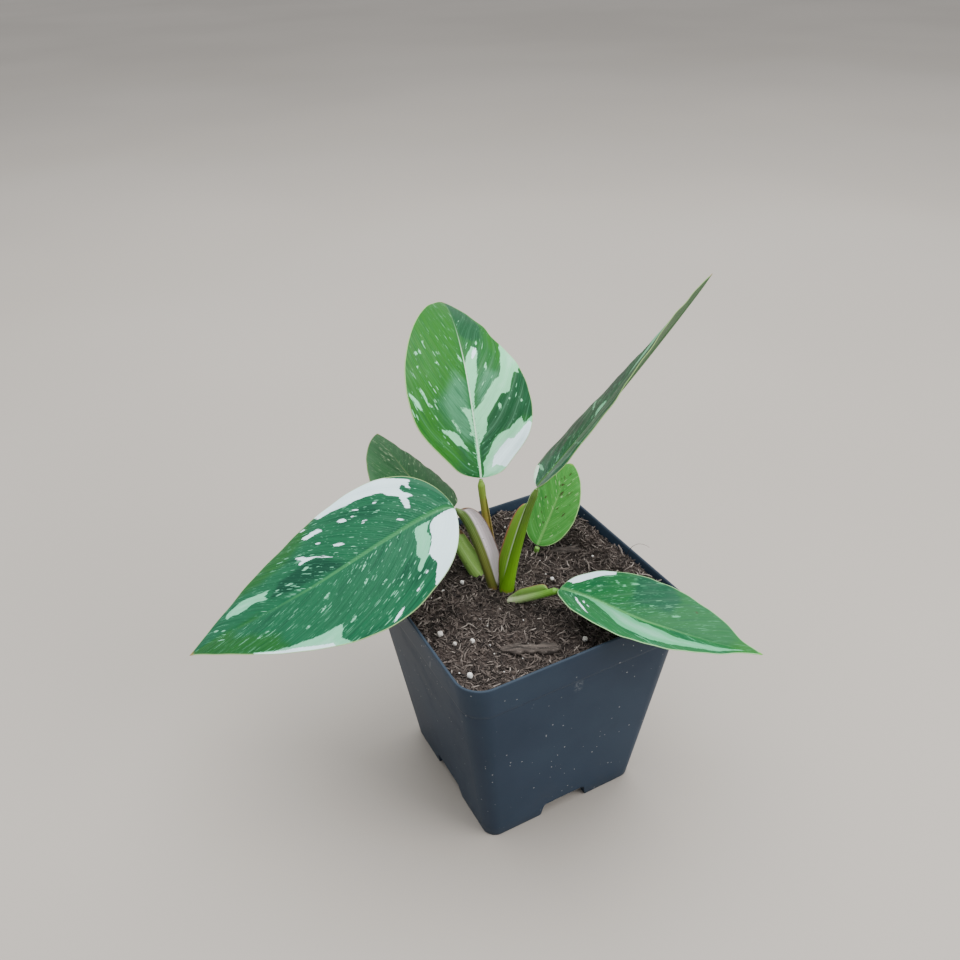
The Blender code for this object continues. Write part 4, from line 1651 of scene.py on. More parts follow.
@dataclass(frozen=True)
class PerliteGrain:
    """One loose grain of perlite."""

    number: int

    def build(self, material: bpy.types.Material) -> None:
        """Model the grain as a knobbly pebble where its solid lies.

        Args:
            material: its finish.
        """
        node = f"perlite_grain_{self.number}"
        low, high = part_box(node)
        middle, radius = (low + high) / 2, (high - low).length / 2 / math.sqrt(3)
        knobs = unit(np.random.default_rng(200 + self.number).normal(size=(9, 3)))

        def swell(point: np.ndarray) -> Vector:
            """Return a point pushed out near the knobs, at the grain's size and place."""
            near = np.exp(-((1 - knobs @ point) / 0.16)).max()
            return middle + Vector(point * (0.80 + 0.22 * near) * radius)

        item = pebble(f"{node}_form", 4, 1.0, swell)
        item.data.shade_smooth()
        item.data.materials.append(material)
        settle(item, "perlite", [node])


@dataclass(frozen=True)
class BarkChip:
    """One flat chip of bark: its size in metres and its heading in degrees."""

    number: int
    length: float
    width: float
    thickness: float
    heading: float
    sunk: float = 0.0005

    def build(self, material: bpy.types.Material) -> None:
        """Model the chip as a worn, ridged flake where its solid lies.

        Args:
            material: its finish.
        """
        node = f"bark_chip_{self.number}"
        low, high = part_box(node)
        middle = np.array((low + high) / 2) - (0, 0, self.sunk)
        rows, ring = 70, 28
        share = np.linspace(-1, 1, rows)
        girth = (1 - np.abs(share) ** 3.2) ** 0.55 * (
            1 + 0.34 * smooth_noise(share * 5 + 9, share * 0 + self.number, 31))
        girth = np.maximum(girth, 0.04)
        turn = np.linspace(0, math.tau, ring, endpoint=False)
        across = np.sign(np.cos(turn)) * np.abs(np.cos(turn)) ** 0.8
        above = np.sign(np.sin(turn)) * np.abs(np.sin(turn)) ** 0.6
        x = np.repeat(share[:, None], ring, 1) * self.length / 2
        y = girth[:, None] * across * self.width / 2
        y = y + 0.25 * MM * smooth_noise(share * 4 + 3, share * 0, 37)[:, None]
        ridges = 0.34 * MM * smooth_noise(x / (2.2 * MM) + 7, y / (0.8 * MM) + 7, 41 + self.number)
        z = above * self.thickness / 2 * girth[:, None] ** 0.5 + ridges * (above > 0)
        angle = math.radians(self.heading)
        points = np.stack([x * math.cos(angle) - y * math.sin(angle),
                           x * math.sin(angle) + y * math.cos(angle), z], -1) + middle
        item = loft(f"{node}_flake", points)
        item.data.materials.append(material)
        settle(item, "bark", [node])


@dataclass(frozen=True)
class Bark:
    """Weathered bark with a grain that runs at a slant."""

    dark: Colour = (0.018, 0.014, 0.012)
    brown: Colour = (0.095, 0.076, 0.065)
    dusty: Colour = (0.17, 0.145, 0.125)

    def material(self) -> bpy.types.Material:
        """Build the bark.

        Returns:
            The material.
        """
        g = Graph("bark_flake_skin", 0.85, Specular_IOR_Level=0.25)
        spot = g.place()
        x, y, z = g.split(spot)
        along, across = x * 0.87 - y * 0.47, x * 0.47 + y * 0.87
        grain = g.noise(g.vector(along * 120.0, across * 900.0, z * 300.0), 1.0, 4.0, 0.6)
        dust = g.noise(spot, 1300.0, 4.0, 0.7)
        g.bump(grain, 0.0005, 0.9)
        return g.finish(g.coats(
            self.dark, (self.brown, grain.step(0.32, 0.72)),
            (self.dusty, dust.step(0.52, 0.70) * 0.5)))


@dataclass(frozen=True)
class StrayFibre:
    """A fine dark fibre that leans out of the soil over the rim."""

    pot: NurseryPot
    thickness: float = 0.00011

    def build(self, material: bpy.types.Material) -> None:
        """Model the fibre as a thin bent strand.

        Args:
            material: its finish.
        """
        knots = np.array([
            (-0.0065, -0.0080, -0.0060), (-0.0030, -0.0090, 0.0004), (-0.0012, -0.0088, 0.0024),
            (0.0010, -0.0098, 0.0036), (0.0028, -0.0118, 0.0038), (0.0036, -0.0140, 0.0034)])
        knots = knots + (self.pot.top_width / 2, 0, self.pot.height)
        share, fine = np.linspace(0, 1, len(knots)), np.linspace(0, 1, 24)
        spine = np.stack([np.interp(fine, share, knots[:, axis]) for axis in range(3)], -1)
        spine[1:-1] = (spine[:-2] + spine[1:-1] + spine[2:]) / 3
        thick = self.thickness * (1 - 0.6 * fine)
        item = strand("stray_fibre", spine + self.pot.centre(), thick, 6)
        item.data.materials.append(material)
        settle(item, "potting_soil", ["soil"])


@dataclass(frozen=True)
class CrownCork:
    """The corky skin of the buried stem, which keeps its solid's own form."""

    dark: Colour = (0.16, 0.15, 0.055)
    light: Colour = (0.26, 0.22, 0.11)

    def dress(self) -> None:
        """Build the cork and put it on the stem."""
        g = Graph("crown_skin", 0.7)
        x, y, z = g.split(g.place())
        rings = g.noise(g.vector(x * 200.0, y * 200.0, z * 900.0), 1.0, 3.0)
        colour = g.mix(self.dark, self.light, rings.step(0.35, 0.65))
        g.bump(rings, 0.0004, 0.7)
        crown = bpy.data.objects["stem_crown"]
        crown.data.materials.clear()
        crown.data.materials.append(g.finish(colour))


# ------------------------------------------------------------------ leaves

def patch(tone: Tone, *outline: Pair) -> Patch:
    """Return a patch of one tone."""
    return Patch(tone, outline)


def dashes(tone: Tone, *strokes: tuple[float, ...]) -> tuple[Dash, ...]:
    """Return dashes of one tone, each from its start, its end and any width but 1."""
    return tuple(Dash(tone, stroke[:2], stroke[2:4], *stroke[4:]) for stroke in strokes)


def left_leaf() -> tuple[LeafStalk, LeafBlade]:
    """Return the large leaf that reaches to the left.

    Returns:
        Its stalk and its blade.
    """
    stalk = LeafStalk(
        "left_leaf_stalk", foot=(-0.0024, -0.0006), top=(-0.0170, -0.0003, 0.0427),
        leaves_soil=(185, 72), meets_blade=(172, 44), foot_radius=0.0016, neck_radius=0.0014,
        sheath_width=0.0060, sheath_end=0.95, sheath_toward=(-31, 17), inner_side=-1,
        colours=StalkColours(low=(0.150, 0.160, 0.030), high=(0.085, 0.150, 0.030),
                             inner=(0.94, 0.84, 0.88), outer=(0.17, 0.19, 0.050),
                             margin=(0.15, 0.050, 0.030), blush=(0.26, 0.10, 0.045),
                             dry_from=0.90, blush_reach=0.12))
    form = BladeForm(
        length=0.121, width=0.061, heading=(167, 156), climb=(-19, -33), climb_power=0.8,
        roll=(-35, -10), fold=6, curl=-26, base_fullness=0.59, tip_fullness=1.11, heart=0.01,
        rib_path=((0, 0.25), (0.05, 0.17), (0.1, 0.12), (0.2, 0.06), (0.3, 0.02), (0.4, -0.02),
                  (0.5, -0.06), (0.65, -0.09), (0.85, -0.05), (1, 0)),
        nips=(Nip(0.15, -1, 0.06, 0.1),), rows=180, columns=100)
    colours = BladeColours(green=(0.007, 0.102, 0.042), deep=(0.002, 0.044, 0.022),
                           backlit=(0.010, 0.100, 0.016), mint=(0.170, 0.550, 0.330),
                           rib=(0.060, 0.290, 0.090), sheen_grey=(0.035, 0.175, 0.092), specks=0.22)
    marks = (
        patch(WHITE, (0.10, 0.93), (0.16, 0.97), (0.22, 1.05), (0.46, 1.05), (0.43, 0.90),
              (0.36, 0.85), (0.33, 0.80), (0.25, 0.78), (0.20, 0.74), (0.18, 0.66), (0.15, 0.60),
              (0.145, 0.45), (0.142, 0.36), (0.127, 0.36), (0.125, 0.45), (0.127, 0.55),
              (0.105, 0.57), (0.115, 0.62), (0.135, 0.68), (0.14, 0.75), (0.125, 0.82),
              (0.115, 0.74), (0.105, 0.73), (0.108, 0.82), (0.10, 0.88)),
        patch(WHITE, (0.425, 0.64), (0.45, 0.68), (0.49, 0.70), (0.51, 0.80), (0.50, 0.80),
              (0.44, 0.74), (0.43, 0.70)),
        patch(WHITE, (0.38, 0.09), (0.43, 0.22), (0.47, 0.32), (0.51, 0.36), (0.535, 0.36),
              (0.535, 0.40), (0.52, 0.41), (0.545, 0.53), (0.54, 0.54), (0.515, 0.47),
              (0.50, 0.40), (0.46, 0.32), (0.43, 0.24), (0.40, 0.14)),
        patch(WHITE, (0, 0.10), (0.03, 0.06), (0.07, 0), (0.09, -0.08), (0.10, -0.2),
              (0.10, -0.30), (0.115, -0.42), (0.135, -0.53), (0.13, -0.66), (0.125, -0.75),
              (0.14, -0.85), (0.16, -0.95), (0.16, -1.1), (-0.05, -1.1), (-0.05, 0.1)),
        patch(WHITE, (0.5, -0.95), (0.62, -0.93), (0.75, -0.97), (0.75, -1.1), (0.5, -1.1)),
        *dashes(WHITE, (0.49, 0.93, 0.51, 0.97, 1.2), (0.28, 0.62, 0.305, 0.67),
                (0.305, 0.57, 0.315, 0.58), (0.335, 0.57, 0.365, 0.64, 1.7),
                (0.44, 0.48, 0.46, 0.52), (0.365, 0.27, 0.40, 0.33, 1.3),
                (0.27, 0.42, 0.29, 0.42), (0.16, 0.2, 0.18, 0.24), (0.16, -0.73, 0.17, -0.73),
                (0.225, 0.62, 0.235, 0.62), (0.205, -0.83, 0.215, -0.83),
                (0.27, -0.88, 0.31, -0.97, 1.4)),
        patch(MINT, (0.08, 0), (0.14, -0.01), (0.15, -0.2), (0.15, -0.25), (0.17, -0.40),
              (0.165, -0.50), (0.19, -0.62), (0.18, -0.65), (0.14, -0.55), (0.12, -0.42),
              (0.105, -0.3), (0.11, -0.2), (0.10, -0.08)),
        patch(MINT, (0.655, 0.32), (0.69, 0.40), (0.73, 0.5), (0.77, 0.64), (0.80, 0.70),
              (0.835, 0.74), (0.84, 0.62), (0.835, 0.52), (0.81, 0.45), (0.79, 0.34),
              (0.75, 0.30), (0.73, 0.31), (0.71, 0.28), (0.69, 0.20), (0.67, 0.17), (0.68, 0.28)),
        patch(MINT, (0.455, -0.73), (0.48, -0.75), (0.52, -0.80), (0.58, -0.84), (0.62, -0.88),
              (0.68, -0.93), (0.75, -0.95), (0.75, -1.1), (0.44, -1.1), (0.455, -0.97),
              (0.475, -0.90), (0.46, -0.80)),
        *dashes(MINT, (0.505, 0.25, 0.525, 0.27, 1.6), (0.46, -0.27, 0.485, -0.33, 1.2),
                (0.875, 0.35, 0.89, 0.52, 1.4), (0.85, -0.3, 0.88, -0.2, 1.2),
                (0.845, 0.1, 0.86, 0.2), (0.32, -0.1, 0.335, -0.18), (0.335, -0.32, 0.35, -0.38),
                (0.28, -0.45, 0.30, -0.49), (0.485, -0.42, 0.505, -0.5),
                (0.55, -0.62, 0.565, -0.67), (0.68, -0.5, 0.70, -0.54),
                (0.71, -0.58, 0.73, -0.63), (0.41, -0.7, 0.43, -0.75), (0.57, 0.16, 0.6, 0.2),
                (0.62, 0.2, 0.64, 0.23), (0.61, 0.1, 0.64, 0.13)),
        patch(DEEP, (0.38, -0.02), (0.45, 0.02), (0.6, 0.06), (0.66, 0.14), (0.62, 0.34),
              (0.52, 0.34), (0.46, 0.30), (0.40, 0.08)),
        # painted backlight: these yellow-green patches
        patch(BACKLIT, (0.82, 0.05), (0.80, -0.4), (0.66, -0.62), (0.6, -1.1), (1.1, -1.1),
              (1.1, 0.1)),
        patch(BACKLIT, (0.5, 0.72), (0.6, 0.6), (0.7, 0.62), (0.8, 0.9), (0.8, 1.1), (0.45, 1.1)),
        patch(BACKLIT, (0.72, 0.0), (0.80, -0.02), (0.79, -0.13), (0.72, -0.10)))
    return stalk, LeafBlade("left_leaf_blade", form, colours, marks, seed=3)


def centre_leaf() -> tuple[LeafStalk, LeafBlade]:
    """Return the bright leaf that stands behind the middle.

    Returns:
        Its stalk and its blade.
    """
    stalk = LeafStalk(
        "centre_leaf_stalk", foot=(0.0030, 0.0050), top=(-0.0008, 0.0098, 0.0453),
        leaves_soil=(110, 74), meets_blade=(80, 84), foot_radius=0.0019, neck_radius=0.0015,
        sheath_width=0.0008, sheath_end=0.80, sheath_toward=(-60, 0), curl=0.4,
        colours=StalkColours(low=(0.24, 0.24, 0.035), high=(0.19, 0.35, 0.040),
                             inner=(0.45, 0.56, 0.26), outer=(0.22, 0.38, 0.060),
                             blush=(0.40, 0.15, 0.05), blush_reach=1.0, margin=(0.40, 0.46, 0.18)))
    form = BladeForm(
        length=0.101, width=0.0545, heading=(69, 75), climb=(46, -11), climb_power=1.5,
        roll=(14, 25), fold=6, curl=-10, base_fullness=0.61, tip_fullness=1.07, heart=0.05,
        nips=(Nip(0.69, 1, 0.13, 0.07), Nip(0.09, 0, 0.28, 0.10)), rows=170, columns=96)
    colours = BladeColours(green=(0.006, 0.104, 0.013), deep=(0.001, 0.056, 0.015),
                           backlit=(0.009, 0.123, 0.001), mint=(0.200, 0.600, 0.320),
                           rib=(0.480, 0.760, 0.520), sheen_grey=(0.060, 0.240, 0.120),
                           rib_width=0.62, rib_strength=0.85, specks=0.11)
    marks = (
        patch(WHITE, (0.07, 0.76), (0.07, 0.62), (0.05, 0.5), (0.08, 0.48), (0.10, 0.48),
              (0.14, 0.55), (0.18, 0.64), (0.185, 0.74), (0.22, 0.82), (0.25, 0.93), (0.25, 1.1),
              (0.07, 1.1)),
        *dashes(WHITE, (0.53, 0.16, 0.59, 0.29, 1.8)),
        patch(MINT, (0, 0.3), (0.03, 0.2), (0.06, 0.15), (0.08, 0.22), (0.12, 0.33), (0.16, 0.37),
              (0.20, 0.48), (0.21, 0.58), (0.24, 0.70), (0.265, 0.80), (0.24, 0.85), (0.27, 0.98),
              (0.27, 1.1), (0, 1.1)),
        patch(MINT, (0.13, 0.06), (0.16, 0.13), (0.20, 0.22), (0.25, 0.22), (0.29, 0.33),
              (0.33, 0.42), (0.36, 0.5), (0.36, 0.58), (0.38, 0.65), (0.42, 0.72), (0.47, 0.80),
              (0.48, 0.86), (0.475, 0.92), (0.5, 0.95), (0.53, 1.1), (0.66, 1.1), (0.62, 0.86),
              (0.59, 0.80), (0.55, 0.70), (0.52, 0.65), (0.47, 0.58), (0.44, 0.52), (0.42, 0.42),
              (0.38, 0.32), (0.34, 0.22), (0.30, 0.12), (0.28, 0.05)),
        patch(MINT, (0, 0.05), (0.30, 0.04), (0.36, 0.07), (0.40, 0.12), (0.45, 0.18),
              (0.50, 0.20), (0.55, 0.27), (0.58, 0.31), (0.60, 0.22), (0.57, 0.14), (0.53, 0.06),
              (0.50, 0.01), (0, 0)),
        patch(MINT, (0.10, -0.22), (0.14, -0.30), (0.18, -0.36), (0.205, -0.48), (0.21, -0.55),
              (0.20, -0.54), (0.215, -0.64), (0.205, -0.64), (0.18, -0.55), (0.15, -0.50),
              (0.145, -0.42), (0.12, -0.30)),
        patch(MINT, (0.27, -0.60), (0.30, -0.70), (0.34, -0.74), (0.36, -0.80), (0.35, -0.82),
              (0.32, -0.76), (0.29, -0.71)),
        patch(MINT, (0.27, -0.80), (0.30, -0.84), (0.335, -0.96), (0.33, -0.97), (0.29, -0.90),
              (0.27, -0.84)),
        patch(MINT, (0.05, -0.03), (0.28, -0.03), (0.29, -0.2), (0.24, -0.1), (0.19, -0.08),
              (0.18, -0.14), (0.17, -0.06), (0.05, -0.08)),
        *dashes(MINT, (0.19, -0.30, 0.24, -0.38, 1.3), (0.5, -0.05, 0.54, -0.11, 1.3),
                (0.47, -0.46, 0.485, -0.53), (0.52, -0.45, 0.535, -0.49),
                (0.51, -0.76, 0.53, -0.80, 1.3), (0.50, -0.83, 0.515, -0.86),
                (0.445, -0.8, 0.455, -0.8), (0.565, -0.75, 0.575, -0.75),
                (0.29, 0.45, 0.31, 0.45, 1.6), (0.325, 0.82, 0.335, 0.82),
                (0.33, 0.62, 0.34, 0.62), (0.47, 0.32, 0.51, 0.38, 1.3),
                (0.61, 0.33, 0.635, 0.4, 1.3)),
        patch(DEEP, (0.06, 0.1), (0.12, 0.3), (0.16, 0.35), (0.20, 0.46), (0.22, 0.62),
              (0.27, 0.84), (0.27, 1.1), (0.5, 1.1), (0.47, 0.82), (0.38, 0.66), (0.35, 0.5),
              (0.28, 0.32), (0.24, 0.22), (0.19, 0.2), (0.13, 0.06)),
        patch(DEEP, (0.47, 0.16), (0.5, 0.22), (0.57, 0.32), (0.61, 0.30), (0.62, 0.26)),
        patch(DEEP, (0.10, -0.40), (0.12, -0.40), (0.14, -0.50), (0.12, -0.50)),
        # painted sheen: the two grey patches
        patch(SHEEN, (0.30, 0.10), (0.40, 0.14), (0.48, 0.30), (0.46, 0.55), (0.40, 0.40),
              (0.33, 0.20)),
        patch(SHEEN, (0.15, -0.05), (0.40, -0.04), (0.45, -0.20), (0.30, -0.50), (0.16, -0.30)),
        # painted backlight: the yellow-green patch
        patch(BACKLIT, (0.42, -0.02), (0.36, -0.3), (0.30, -0.62), (0.30, -1.1), (1.1, -1.1),
              (1.1, 0.0)),
        patch(DEEP, (0.66, 0.02), (0.63, 0.3), (0.66, 0.6), (0.74, 0.8), (0.86, 0.8), (0.96, 0.5),
              (0.98, 0.0)),
        # painted backlight: these two yellow-green patches
        patch(BACKLIT, (0.50, 0.55), (0.54, 0.9), (0.66, 1.1), (1.1, 1.1), (0.74, 0.86),
              (0.62, 0.60)),
        patch(BACKLIT, (0.10, -0.5), (0.25, -0.6), (0.35, -0.8), (0.35, -1.1), (0.05, -1.1)))
    return stalk, LeafBlade("centre_leaf_blade", form, colours, marks, seed=8)


def tall_leaf() -> tuple[LeafStalk, LeafBlade]:
    """Return the dark leaf that rises furthest to the right.

    Returns:
        Its stalk and its blade.
    """
    stalk = LeafStalk(
        "tall_leaf_stalk", foot=(0.0019, -0.0052), top=(0.0097, -0.0150, 0.0512),
        leaves_soil=(-60, 80), meets_blade=(-45, 68), foot_radius=0.0024, neck_radius=0.0014,
        sheath_width=0.0044, sheath_end=0.80, sheath_toward=(153, 12), blunt=6.0,
        colours=StalkColours(low=(0.150, 0.360, 0.008), high=(0.075, 0.150, 0.015),
                             inner=(0.135, 0.290, 0.022), outer=(0.16, 0.36, 0.015),
                             # painted highlight: a pale lime stripe on the sheath
                             margin=(0.30, 0.075, 0.045), blush_reach=0.08, highlight_stripe=0.18))
    form = BladeForm(
        length=0.1035, width=0.0485, heading=(-2, 12), climb=(42.5, 35.5), climb_power=0.9,
        roll=(-30, -55), fold=13, curl=-17, base_fullness=0.51, tip_fullness=1.10, heart=0.04,
        rows=170, columns=90)
    colours = BladeColours(green=(0.004, 0.050, 0.013), deep=(0.001, 0.022, 0.006),
                           backlit=(0.022, 0.120, 0.012), mint=(0.110, 0.330, 0.170),
                           rib=(0.150, 0.300, 0.070), white=(0.60, 0.76, 0.62),
                           margin=(0.26, 0.42, 0.12), under=(0.05, 0.13, 0.04),
                           sheen_grey=(0.030, 0.110, 0.045), specks=0.30)
    marks = (
        patch(WHITE, (-0.02, -0.6), (0.04, -0.62), (0.08, -0.75), (0.09, -1.1), (-0.05, -1.1)),
        *dashes(MINT, (0.07, -0.4, 0.09, -0.9, 1.6)),
        patch(MINT, (0.32, -0.03), (0.36, -0.1), (0.40, -0.12), (0.40, -0.2), (0.36, -0.21),
              (0.34, -0.15)),
        *dashes(MINT, (0.35, -0.38, 0.42, -1.0, 1.2), (0.12, -0.1, 0.16, -0.3)),
        patch(MINT, (0.5, -0.1), (0.65, -0.45), (0.75, -1.1), (0.85, -1.1), (0.7, -0.4),
              (0.55, 0)),
        *dashes(MINT, (0.2, 0.02, 0.23, 0.98, 0.5), (0.29, 0.6, 0.34, 0.02, 0.5)),
        patch(DEEP, (0.14, -0.4), (0.30, -0.3), (0.33, -1.1), (0.14, -1.1)),
        patch(DEEP, (0.42, -0.25), (0.52, -0.3), (0.6, -1.1), (0.44, -1.1)))
    return stalk, LeafBlade("tall_leaf_blade", form, colours, marks, seed=14)


def low_leaf() -> tuple[LeafStalk, LeafBlade]:
    """Return the small leaf that hangs over the pot's front rim.

    Returns:
        Its stalk and its blade.
    """
    stalk = LeafStalk(
        "low_leaf_stalk", foot=(0.0014, -0.0136), top=(0.0109, -0.0288, 0.0122),
        leaves_soil=(-58, 30), meets_blade=(-58, 36), buried=0.0030, foot_radius=0.0014,
        neck_radius=0.0014, sheath_width=0.0028, sheath_end=0.76, sheath_toward=(74, 50),
        blunt=14.0,
        colours=StalkColours(low=(0.34, 0.44, 0.20), high=(0.130, 0.330, 0.030),
                             inner=(0.16, 0.31, 0.050), outer=(0.15, 0.32, 0.040),
                             margin=(0.26, 0.12, 0.05), blush=(0.56, 0.56, 0.40), blush_reach=0.24))
    form = BladeForm(
        length=0.0775, width=0.036, heading=(-59, -46), climb=(-5, -3.5), climb_power=0.8,
        roll=(-4, 8), fold=20, curl=-13, base_fullness=0.63, tip_fullness=1.08, heart=0.05,
        lean=-0.11,
        rib_path=((0.0, -0.20), (0.1, -0.15), (0.2, -0.11), (0.33, -0.04), (0.45, 0), (0.6, 0),
                  (0.8, 0.03), (1, 0)),
        nips=(Nip(0.93, 0, 0.3, 0.08), Nip(0.08, 0, 0.15, 0.08)), rows=150, columns=84)
    colours = BladeColours(green=(0.008, 0.118, 0.027), deep=(0.002, 0.072, 0.030),
                           backlit=(0.013, 0.140, 0.009), mint=(0.085, 0.400, 0.190),
                           rib=(0.110, 0.400, 0.110), margin=(0.32, 0.58, 0.26),
                           tip=(0.10, 0.38, 0.02), sheen_grey=(0.035, 0.190, 0.085), specks=0.40)
    marks = (
        patch(WHITE, (0.06, -0.62), (0.10, -0.66), (0.15, -0.76), (0.20, -0.85), (0.235, -0.90),
              (0.235, -1.1), (0.02, -1.1), (0.03, -0.9), (0.05, -0.7)),
        patch(MINT, (0.03, -0.18), (0.08, -0.14), (0.13, -0.03), (0.18, 0.05), (0.22, 0.18),
              (0.27, 0.33), (0.31, 0.5), (0.34, 0.6), (0.40, 0.68), (0.46, 0.75), (0.50, 0.80),
              (0.60, 0.78), (0.67, 0.76), (0.72, 0.75), (0.80, 0.78), (0.9, 0.5), (0.92, 0.2),
              (0.86, 0.45), (0.75, 0.40), (0.66, 0.38), (0.60, 0.38), (0.54, 0.22), (0.47, 0.14),
              (0.42, 0.16), (0.37, 0.05), (0.30, -0.06), (0.22, -0.13), (0.14, -0.17),
              (0.08, -0.19)),
        *dashes(WHITE, (0.11, 0.30, 0.155, 0.56, 0.9), (0.15, 0.50, 0.222, 0.76, 1.1),
                (0.155, 0.24, 0.172, 0.42, 0.8), (0.19, 0.42, 0.205, 0.50, 0.7)),
        *dashes(MINT, (0.14, -0.33, 0.16, -0.36), (0.175, -0.48, 0.195, -0.55),
                (0.245, -0.75, 0.265, -0.64), (0.285, -0.62, 0.29, -0.68),
                (0.31, -0.72, 0.35, -0.76), (0.44, -0.36, 0.46, -0.38), (0.56, -0.31, 0.6, -0.38)),
        *dashes(SCAR, (0.66, -0.68, 0.672, -0.68, 1.1)),
        patch(DEEP, (0.35, -0.35), (0.55, -0.35), (0.58, -0.75), (0.50, -1.1), (0.32, -1.1)),
        # painted backlight: the yellow-green tip
        patch(BACKLIT, (0.88, -1.1), (0.86, 0.0), (0.88, 1.1), (1.1, 1.1), (1.1, -1.1)))
    return stalk, LeafBlade("low_leaf_blade", form, colours, marks, seed=21)


def back_leaf() -> tuple[LeafStalk, LeafBlade]:
    """Return the dull leaf at the back.

    Returns:
        Its stalk and its blade.
    """
    stalk = LeafStalk(
        "back_leaf_stalk", foot=(-0.0047, 0.0098), top=(-0.0119, 0.0226, 0.0240),
        leaves_soil=(155, 58), meets_blade=(90, 52), foot_radius=0.0025, neck_radius=0.0016,
        sheath_width=0.0034, sheath_end=0.75, sheath_toward=(0, 35),
        colours=StalkColours(low=(0.19, 0.34, 0.070), high=(0.15, 0.29, 0.050),
                             inner=(0.33, 0.44, 0.17), outer=(0.20, 0.35, 0.080),
                             margin=(0.26, 0.24, 0.09), dry_from=0.62, blush_reach=0.05))
    form = BladeForm(
        length=0.053, width=0.040, heading=(110, 86), climb=(26, 5), climb_power=1.6,
        roll=(11, 32), fold=4, curl=-24, base_fullness=0.52, tip_fullness=1.02, heart=0.03,
        rows=120, columns=80)
    colours = BladeColours(green=(0.026, 0.098, 0.033), deep=(0.012, 0.058, 0.018),
                           backlit=(0.045, 0.130, 0.032), mint=(0.22, 0.33, 0.18),
                           rib=(0.17, 0.25, 0.10), margin=(0.12, 0.20, 0.06),
                           sheen_grey=(0.06, 0.14, 0.06), white=(0.5, 0.55, 0.46),
                           rib_width=1.1, specks=0.20, roughness=0.5)
    marks = (
        *dashes(MINT, (0.47, 0.28, 0.49, 0.30), (0.56, 0.28, 0.58, 0.29),
                (0.62, -0.28, 0.64, -0.29)),)
    return stalk, LeafBlade("back_leaf_blade", form, colours, marks, seed=30)


def old_leaf() -> tuple[LeafStalk, LeafBlade]:
    """Return the small first leaf that lies low on the soil.

    Returns:
        Its stalk and its blade.
    """
    stalk = LeafStalk(
        "old_leaf_stalk", foot=(0.0256, 0.0114), top=(0.0255, 0.0100, 0.0028),
        leaves_soil=(-85, 78), meets_blade=(20, 70), foot_radius=0.0011, neck_radius=0.0011,
        colours=StalkColours(low=(0.24, 0.42, 0.10), high=(0.18, 0.40, 0.07),
                             inner=(0.25, 0.4, 0.12), outer=(0.17, 0.37, 0.06), blush_reach=0.02),
        rings=40)
    form = BladeForm(
        length=0.038, width=0.0232, heading=(26, 25), climb=(45, 48), climb_power=1,
        roll=(0, 0), fold=2, curl=1, base_fullness=0.52, tip_fullness=0.66, heart=0.0,
        wave=0.0001, rows=110, columns=70)
    colours = BladeColours(green=(0.060, 0.264, 0.040), deep=(0.028, 0.210, 0.034),
                           backlit=(0.120, 0.344, 0.043), mint=(0.32, 0.56, 0.22),
                           rib=(0.24, 0.52, 0.14), margin=(0.34, 0.56, 0.20),
                           scar=(0.045, 0.040, 0.016), tip=(0.16, 0.34, 0.05),
                           sheen_grey=(0.13, 0.40, 0.11), rib_width=1.0, specks=0.22)
    marks = (
        *dashes(SCAR, (0.26, -0.15, 0.27, -0.15, 1.2), (0.455, 0.18, 0.465, 0.18, 1.3),
                (0.62, 0.35, 0.70, 0.60, 1.1), (0.78, -0.2, 0.80, -0.2, 0.9),
                (0.79, 0.40, 0.81, 0.40, 0.9), (0.545, 0.62, 0.555, 0.62, 0.8),
                (0.80, 0.0, 0.84, -0.1, 0.9), (0.60, 0.05, 0.66, 0.16, 1.4),
                (0.72, -0.12, 0.75, 0.10, 1.3), (0.86, 0.2, 0.89, 0.35, 1.2),
                (0.40, 0.46, 0.45, 0.52), (0.35, -0.32, 0.38, -0.42, 0.9),
                (0.52, -0.5, 0.56, -0.42, 0.8)),
        *dashes(MINT, (0.21, -0.26, 0.23, -0.26, 0.9), (0.60, 0.15, 0.62, 0.15, 0.8),
                (0.66, 0.45, 0.68, 0.45, 0.8), (0.29, -0.45, 0.31, -0.45, 0.8)))
    return stalk, LeafBlade("old_leaf_blade", form, colours, marks, seed=37)


# ------------------------------------------------------------------ studio

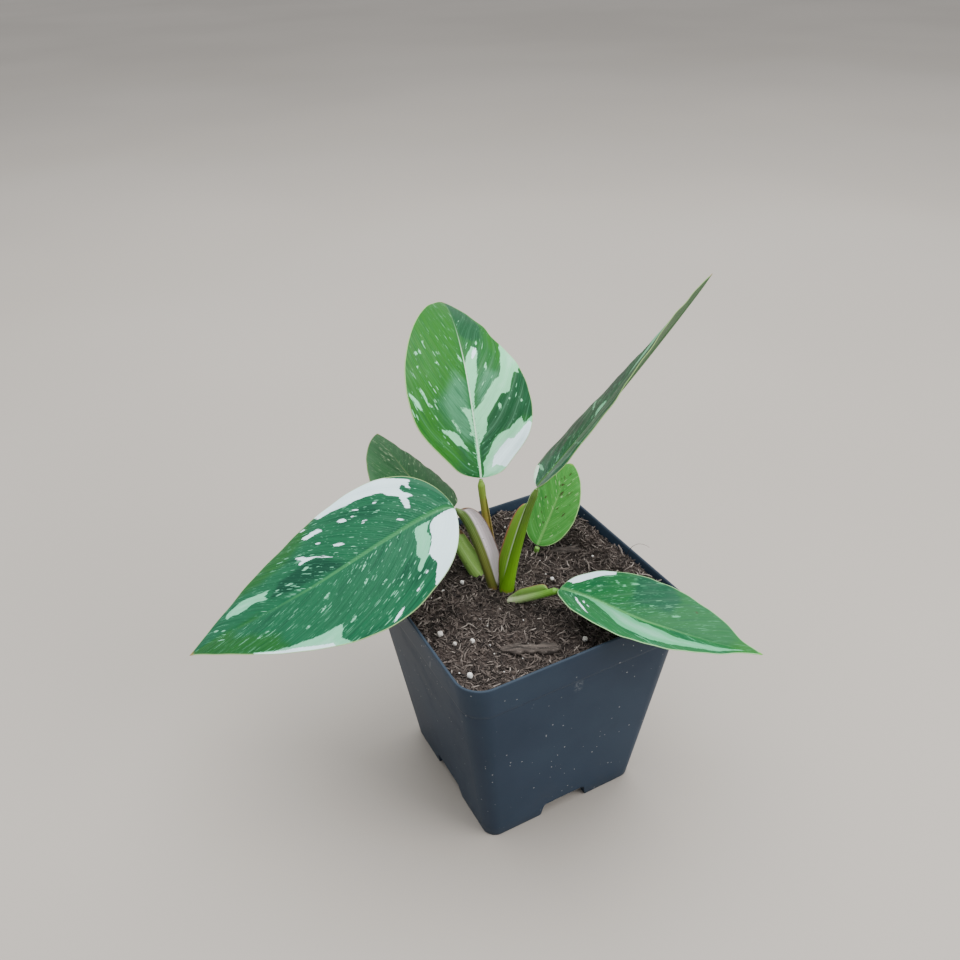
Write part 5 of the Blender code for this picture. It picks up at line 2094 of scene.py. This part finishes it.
@dataclass(frozen=True)
class Studio:
    """The floor, the soft lights and the camera."""

    lens: float = 34.43
    place: tuple[float, float, float] = (-0.14698, -0.25285, 0.33020)
    right: tuple[float, float, float] = (0.8806, -0.4731, -0.0269)
    up: tuple[float, float, float] = (0.2722, 0.4585, 0.8460)
    lit_height: float = 0.08

    def build(self, middle: np.ndarray) -> None:
        """Set up everything around the plant.

        Args:
            middle: the middle of the pot's foot.
        """
        self.floor(float(middle[2]))
        self.camera(middle)
        self.lamp("ceiling", middle, (0.10, 0.15, 1.35), 1.5, 38.0, (0.97, 0.99, 1.0))
        self.lamp("side", middle, (0.85, -1.05, 0.80), 1.0, 18.0, (1.0, 0.99, 0.98))
        world = bpy.data.worlds.new("room")
        world.use_nodes = True
        ground = world.node_tree.nodes["Background"]
        ground.inputs[0].default_value = (0.95, 0.97, 1.0, 1.0)
        ground.inputs[1].default_value = 0.90
        bpy.context.scene.world = world

    def camera(self, middle: np.ndarray) -> None:
        """Place the camera.

        Args:
            middle: the middle of the pot's foot.
        """
        right, up = Vector(self.right), Vector(self.up)
        back = right.cross(up)
        data = bpy.data.cameras.new("camera")
        data.lens, data.sensor_width = self.lens, 36.0
        data.clip_start, data.clip_end = 0.01, 60.0
        eye = link("camera", data)
        turn = Matrix((right, up, back)).transposed().to_4x4()
        eye.matrix_world = Matrix.Translation(Vector(middle) + Vector(self.place)) @ turn
        bpy.context.scene.camera = eye

    def lamp(self, name: str, middle: np.ndarray, place: tuple[float, float, float],
             size: float, power: float, tint: Colour) -> None:
        """Hang one soft square light that faces the plant.

        Args:
            name: the light's name.
            middle: the middle of the pot's foot.
            place: where it hangs, from there.
            size: the length of its side.
            power: its power in watts.
            tint: its colour.
        """
        data = bpy.data.lights.new(name, "AREA")
        data.size, data.energy, data.color = size, power, tint
        spot = Vector(middle) + Vector(place)
        aim = Vector(middle) + Vector((0, 0, self.lit_height)) - spot
        turn = aim.to_track_quat("-Z", "Y").to_matrix().to_4x4()
        link(name, data).matrix_world = Matrix.Translation(spot) @ turn

    @staticmethod
    def floor(level: float) -> None:
        """Lay the plain pale floor.

        Args:
            level: its height.
        """
        side = 10.0
        points = np.array([(-side, -side, level), (side, -side, level),
                           (side, side, level), (-side, side, level)])
        item = link_mesh("floor", points, [(0, 1, 2, 3)])
        g = Graph("floor_skin", 0.7, Specular_IOR_Level=0.2)
        cloud = g.noise(g.place(), 1.5, 2.0)
        item.data.materials.append(g.finish(
            g.mix((0.355, 0.322, 0.285), (0.385, 0.350, 0.312), cloud.step(0.3, 0.7))))


# -------------------------------------------------------------------- main

def main() -> None:
    """Build the plant's looks, piece by piece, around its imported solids."""
    logging.basicConfig(level=logging.INFO, format="%(message)s")
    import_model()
    pot = NurseryPot()
    pot.build()
    SoilBed(pot).build()
    StrayFibre(pot).build(PeatFibre().material())
    CrownCork().dress()
    grain = Perlite().material()
    for number in range(1, 10):
        PerliteGrain(number).build(grain)
    bark = Bark().material()
    for chip in (BarkChip(1, 0.0230, 0.0052, 0.0022, -28), BarkChip(2, 0.0190, 0.0046, 0.0020, -20),
                 BarkChip(3, 0.0120, 0.0038, 0.0018, 35)):
        chip.build(bark)
    for leaf in (left_leaf, centre_leaf, tall_leaf, low_leaf, back_leaf, old_leaf):
        stalk, blade = leaf()
        stalk.build()
        blade.build()
    Studio().build(pot.centre())


if __name__ == "__main__":
    main()
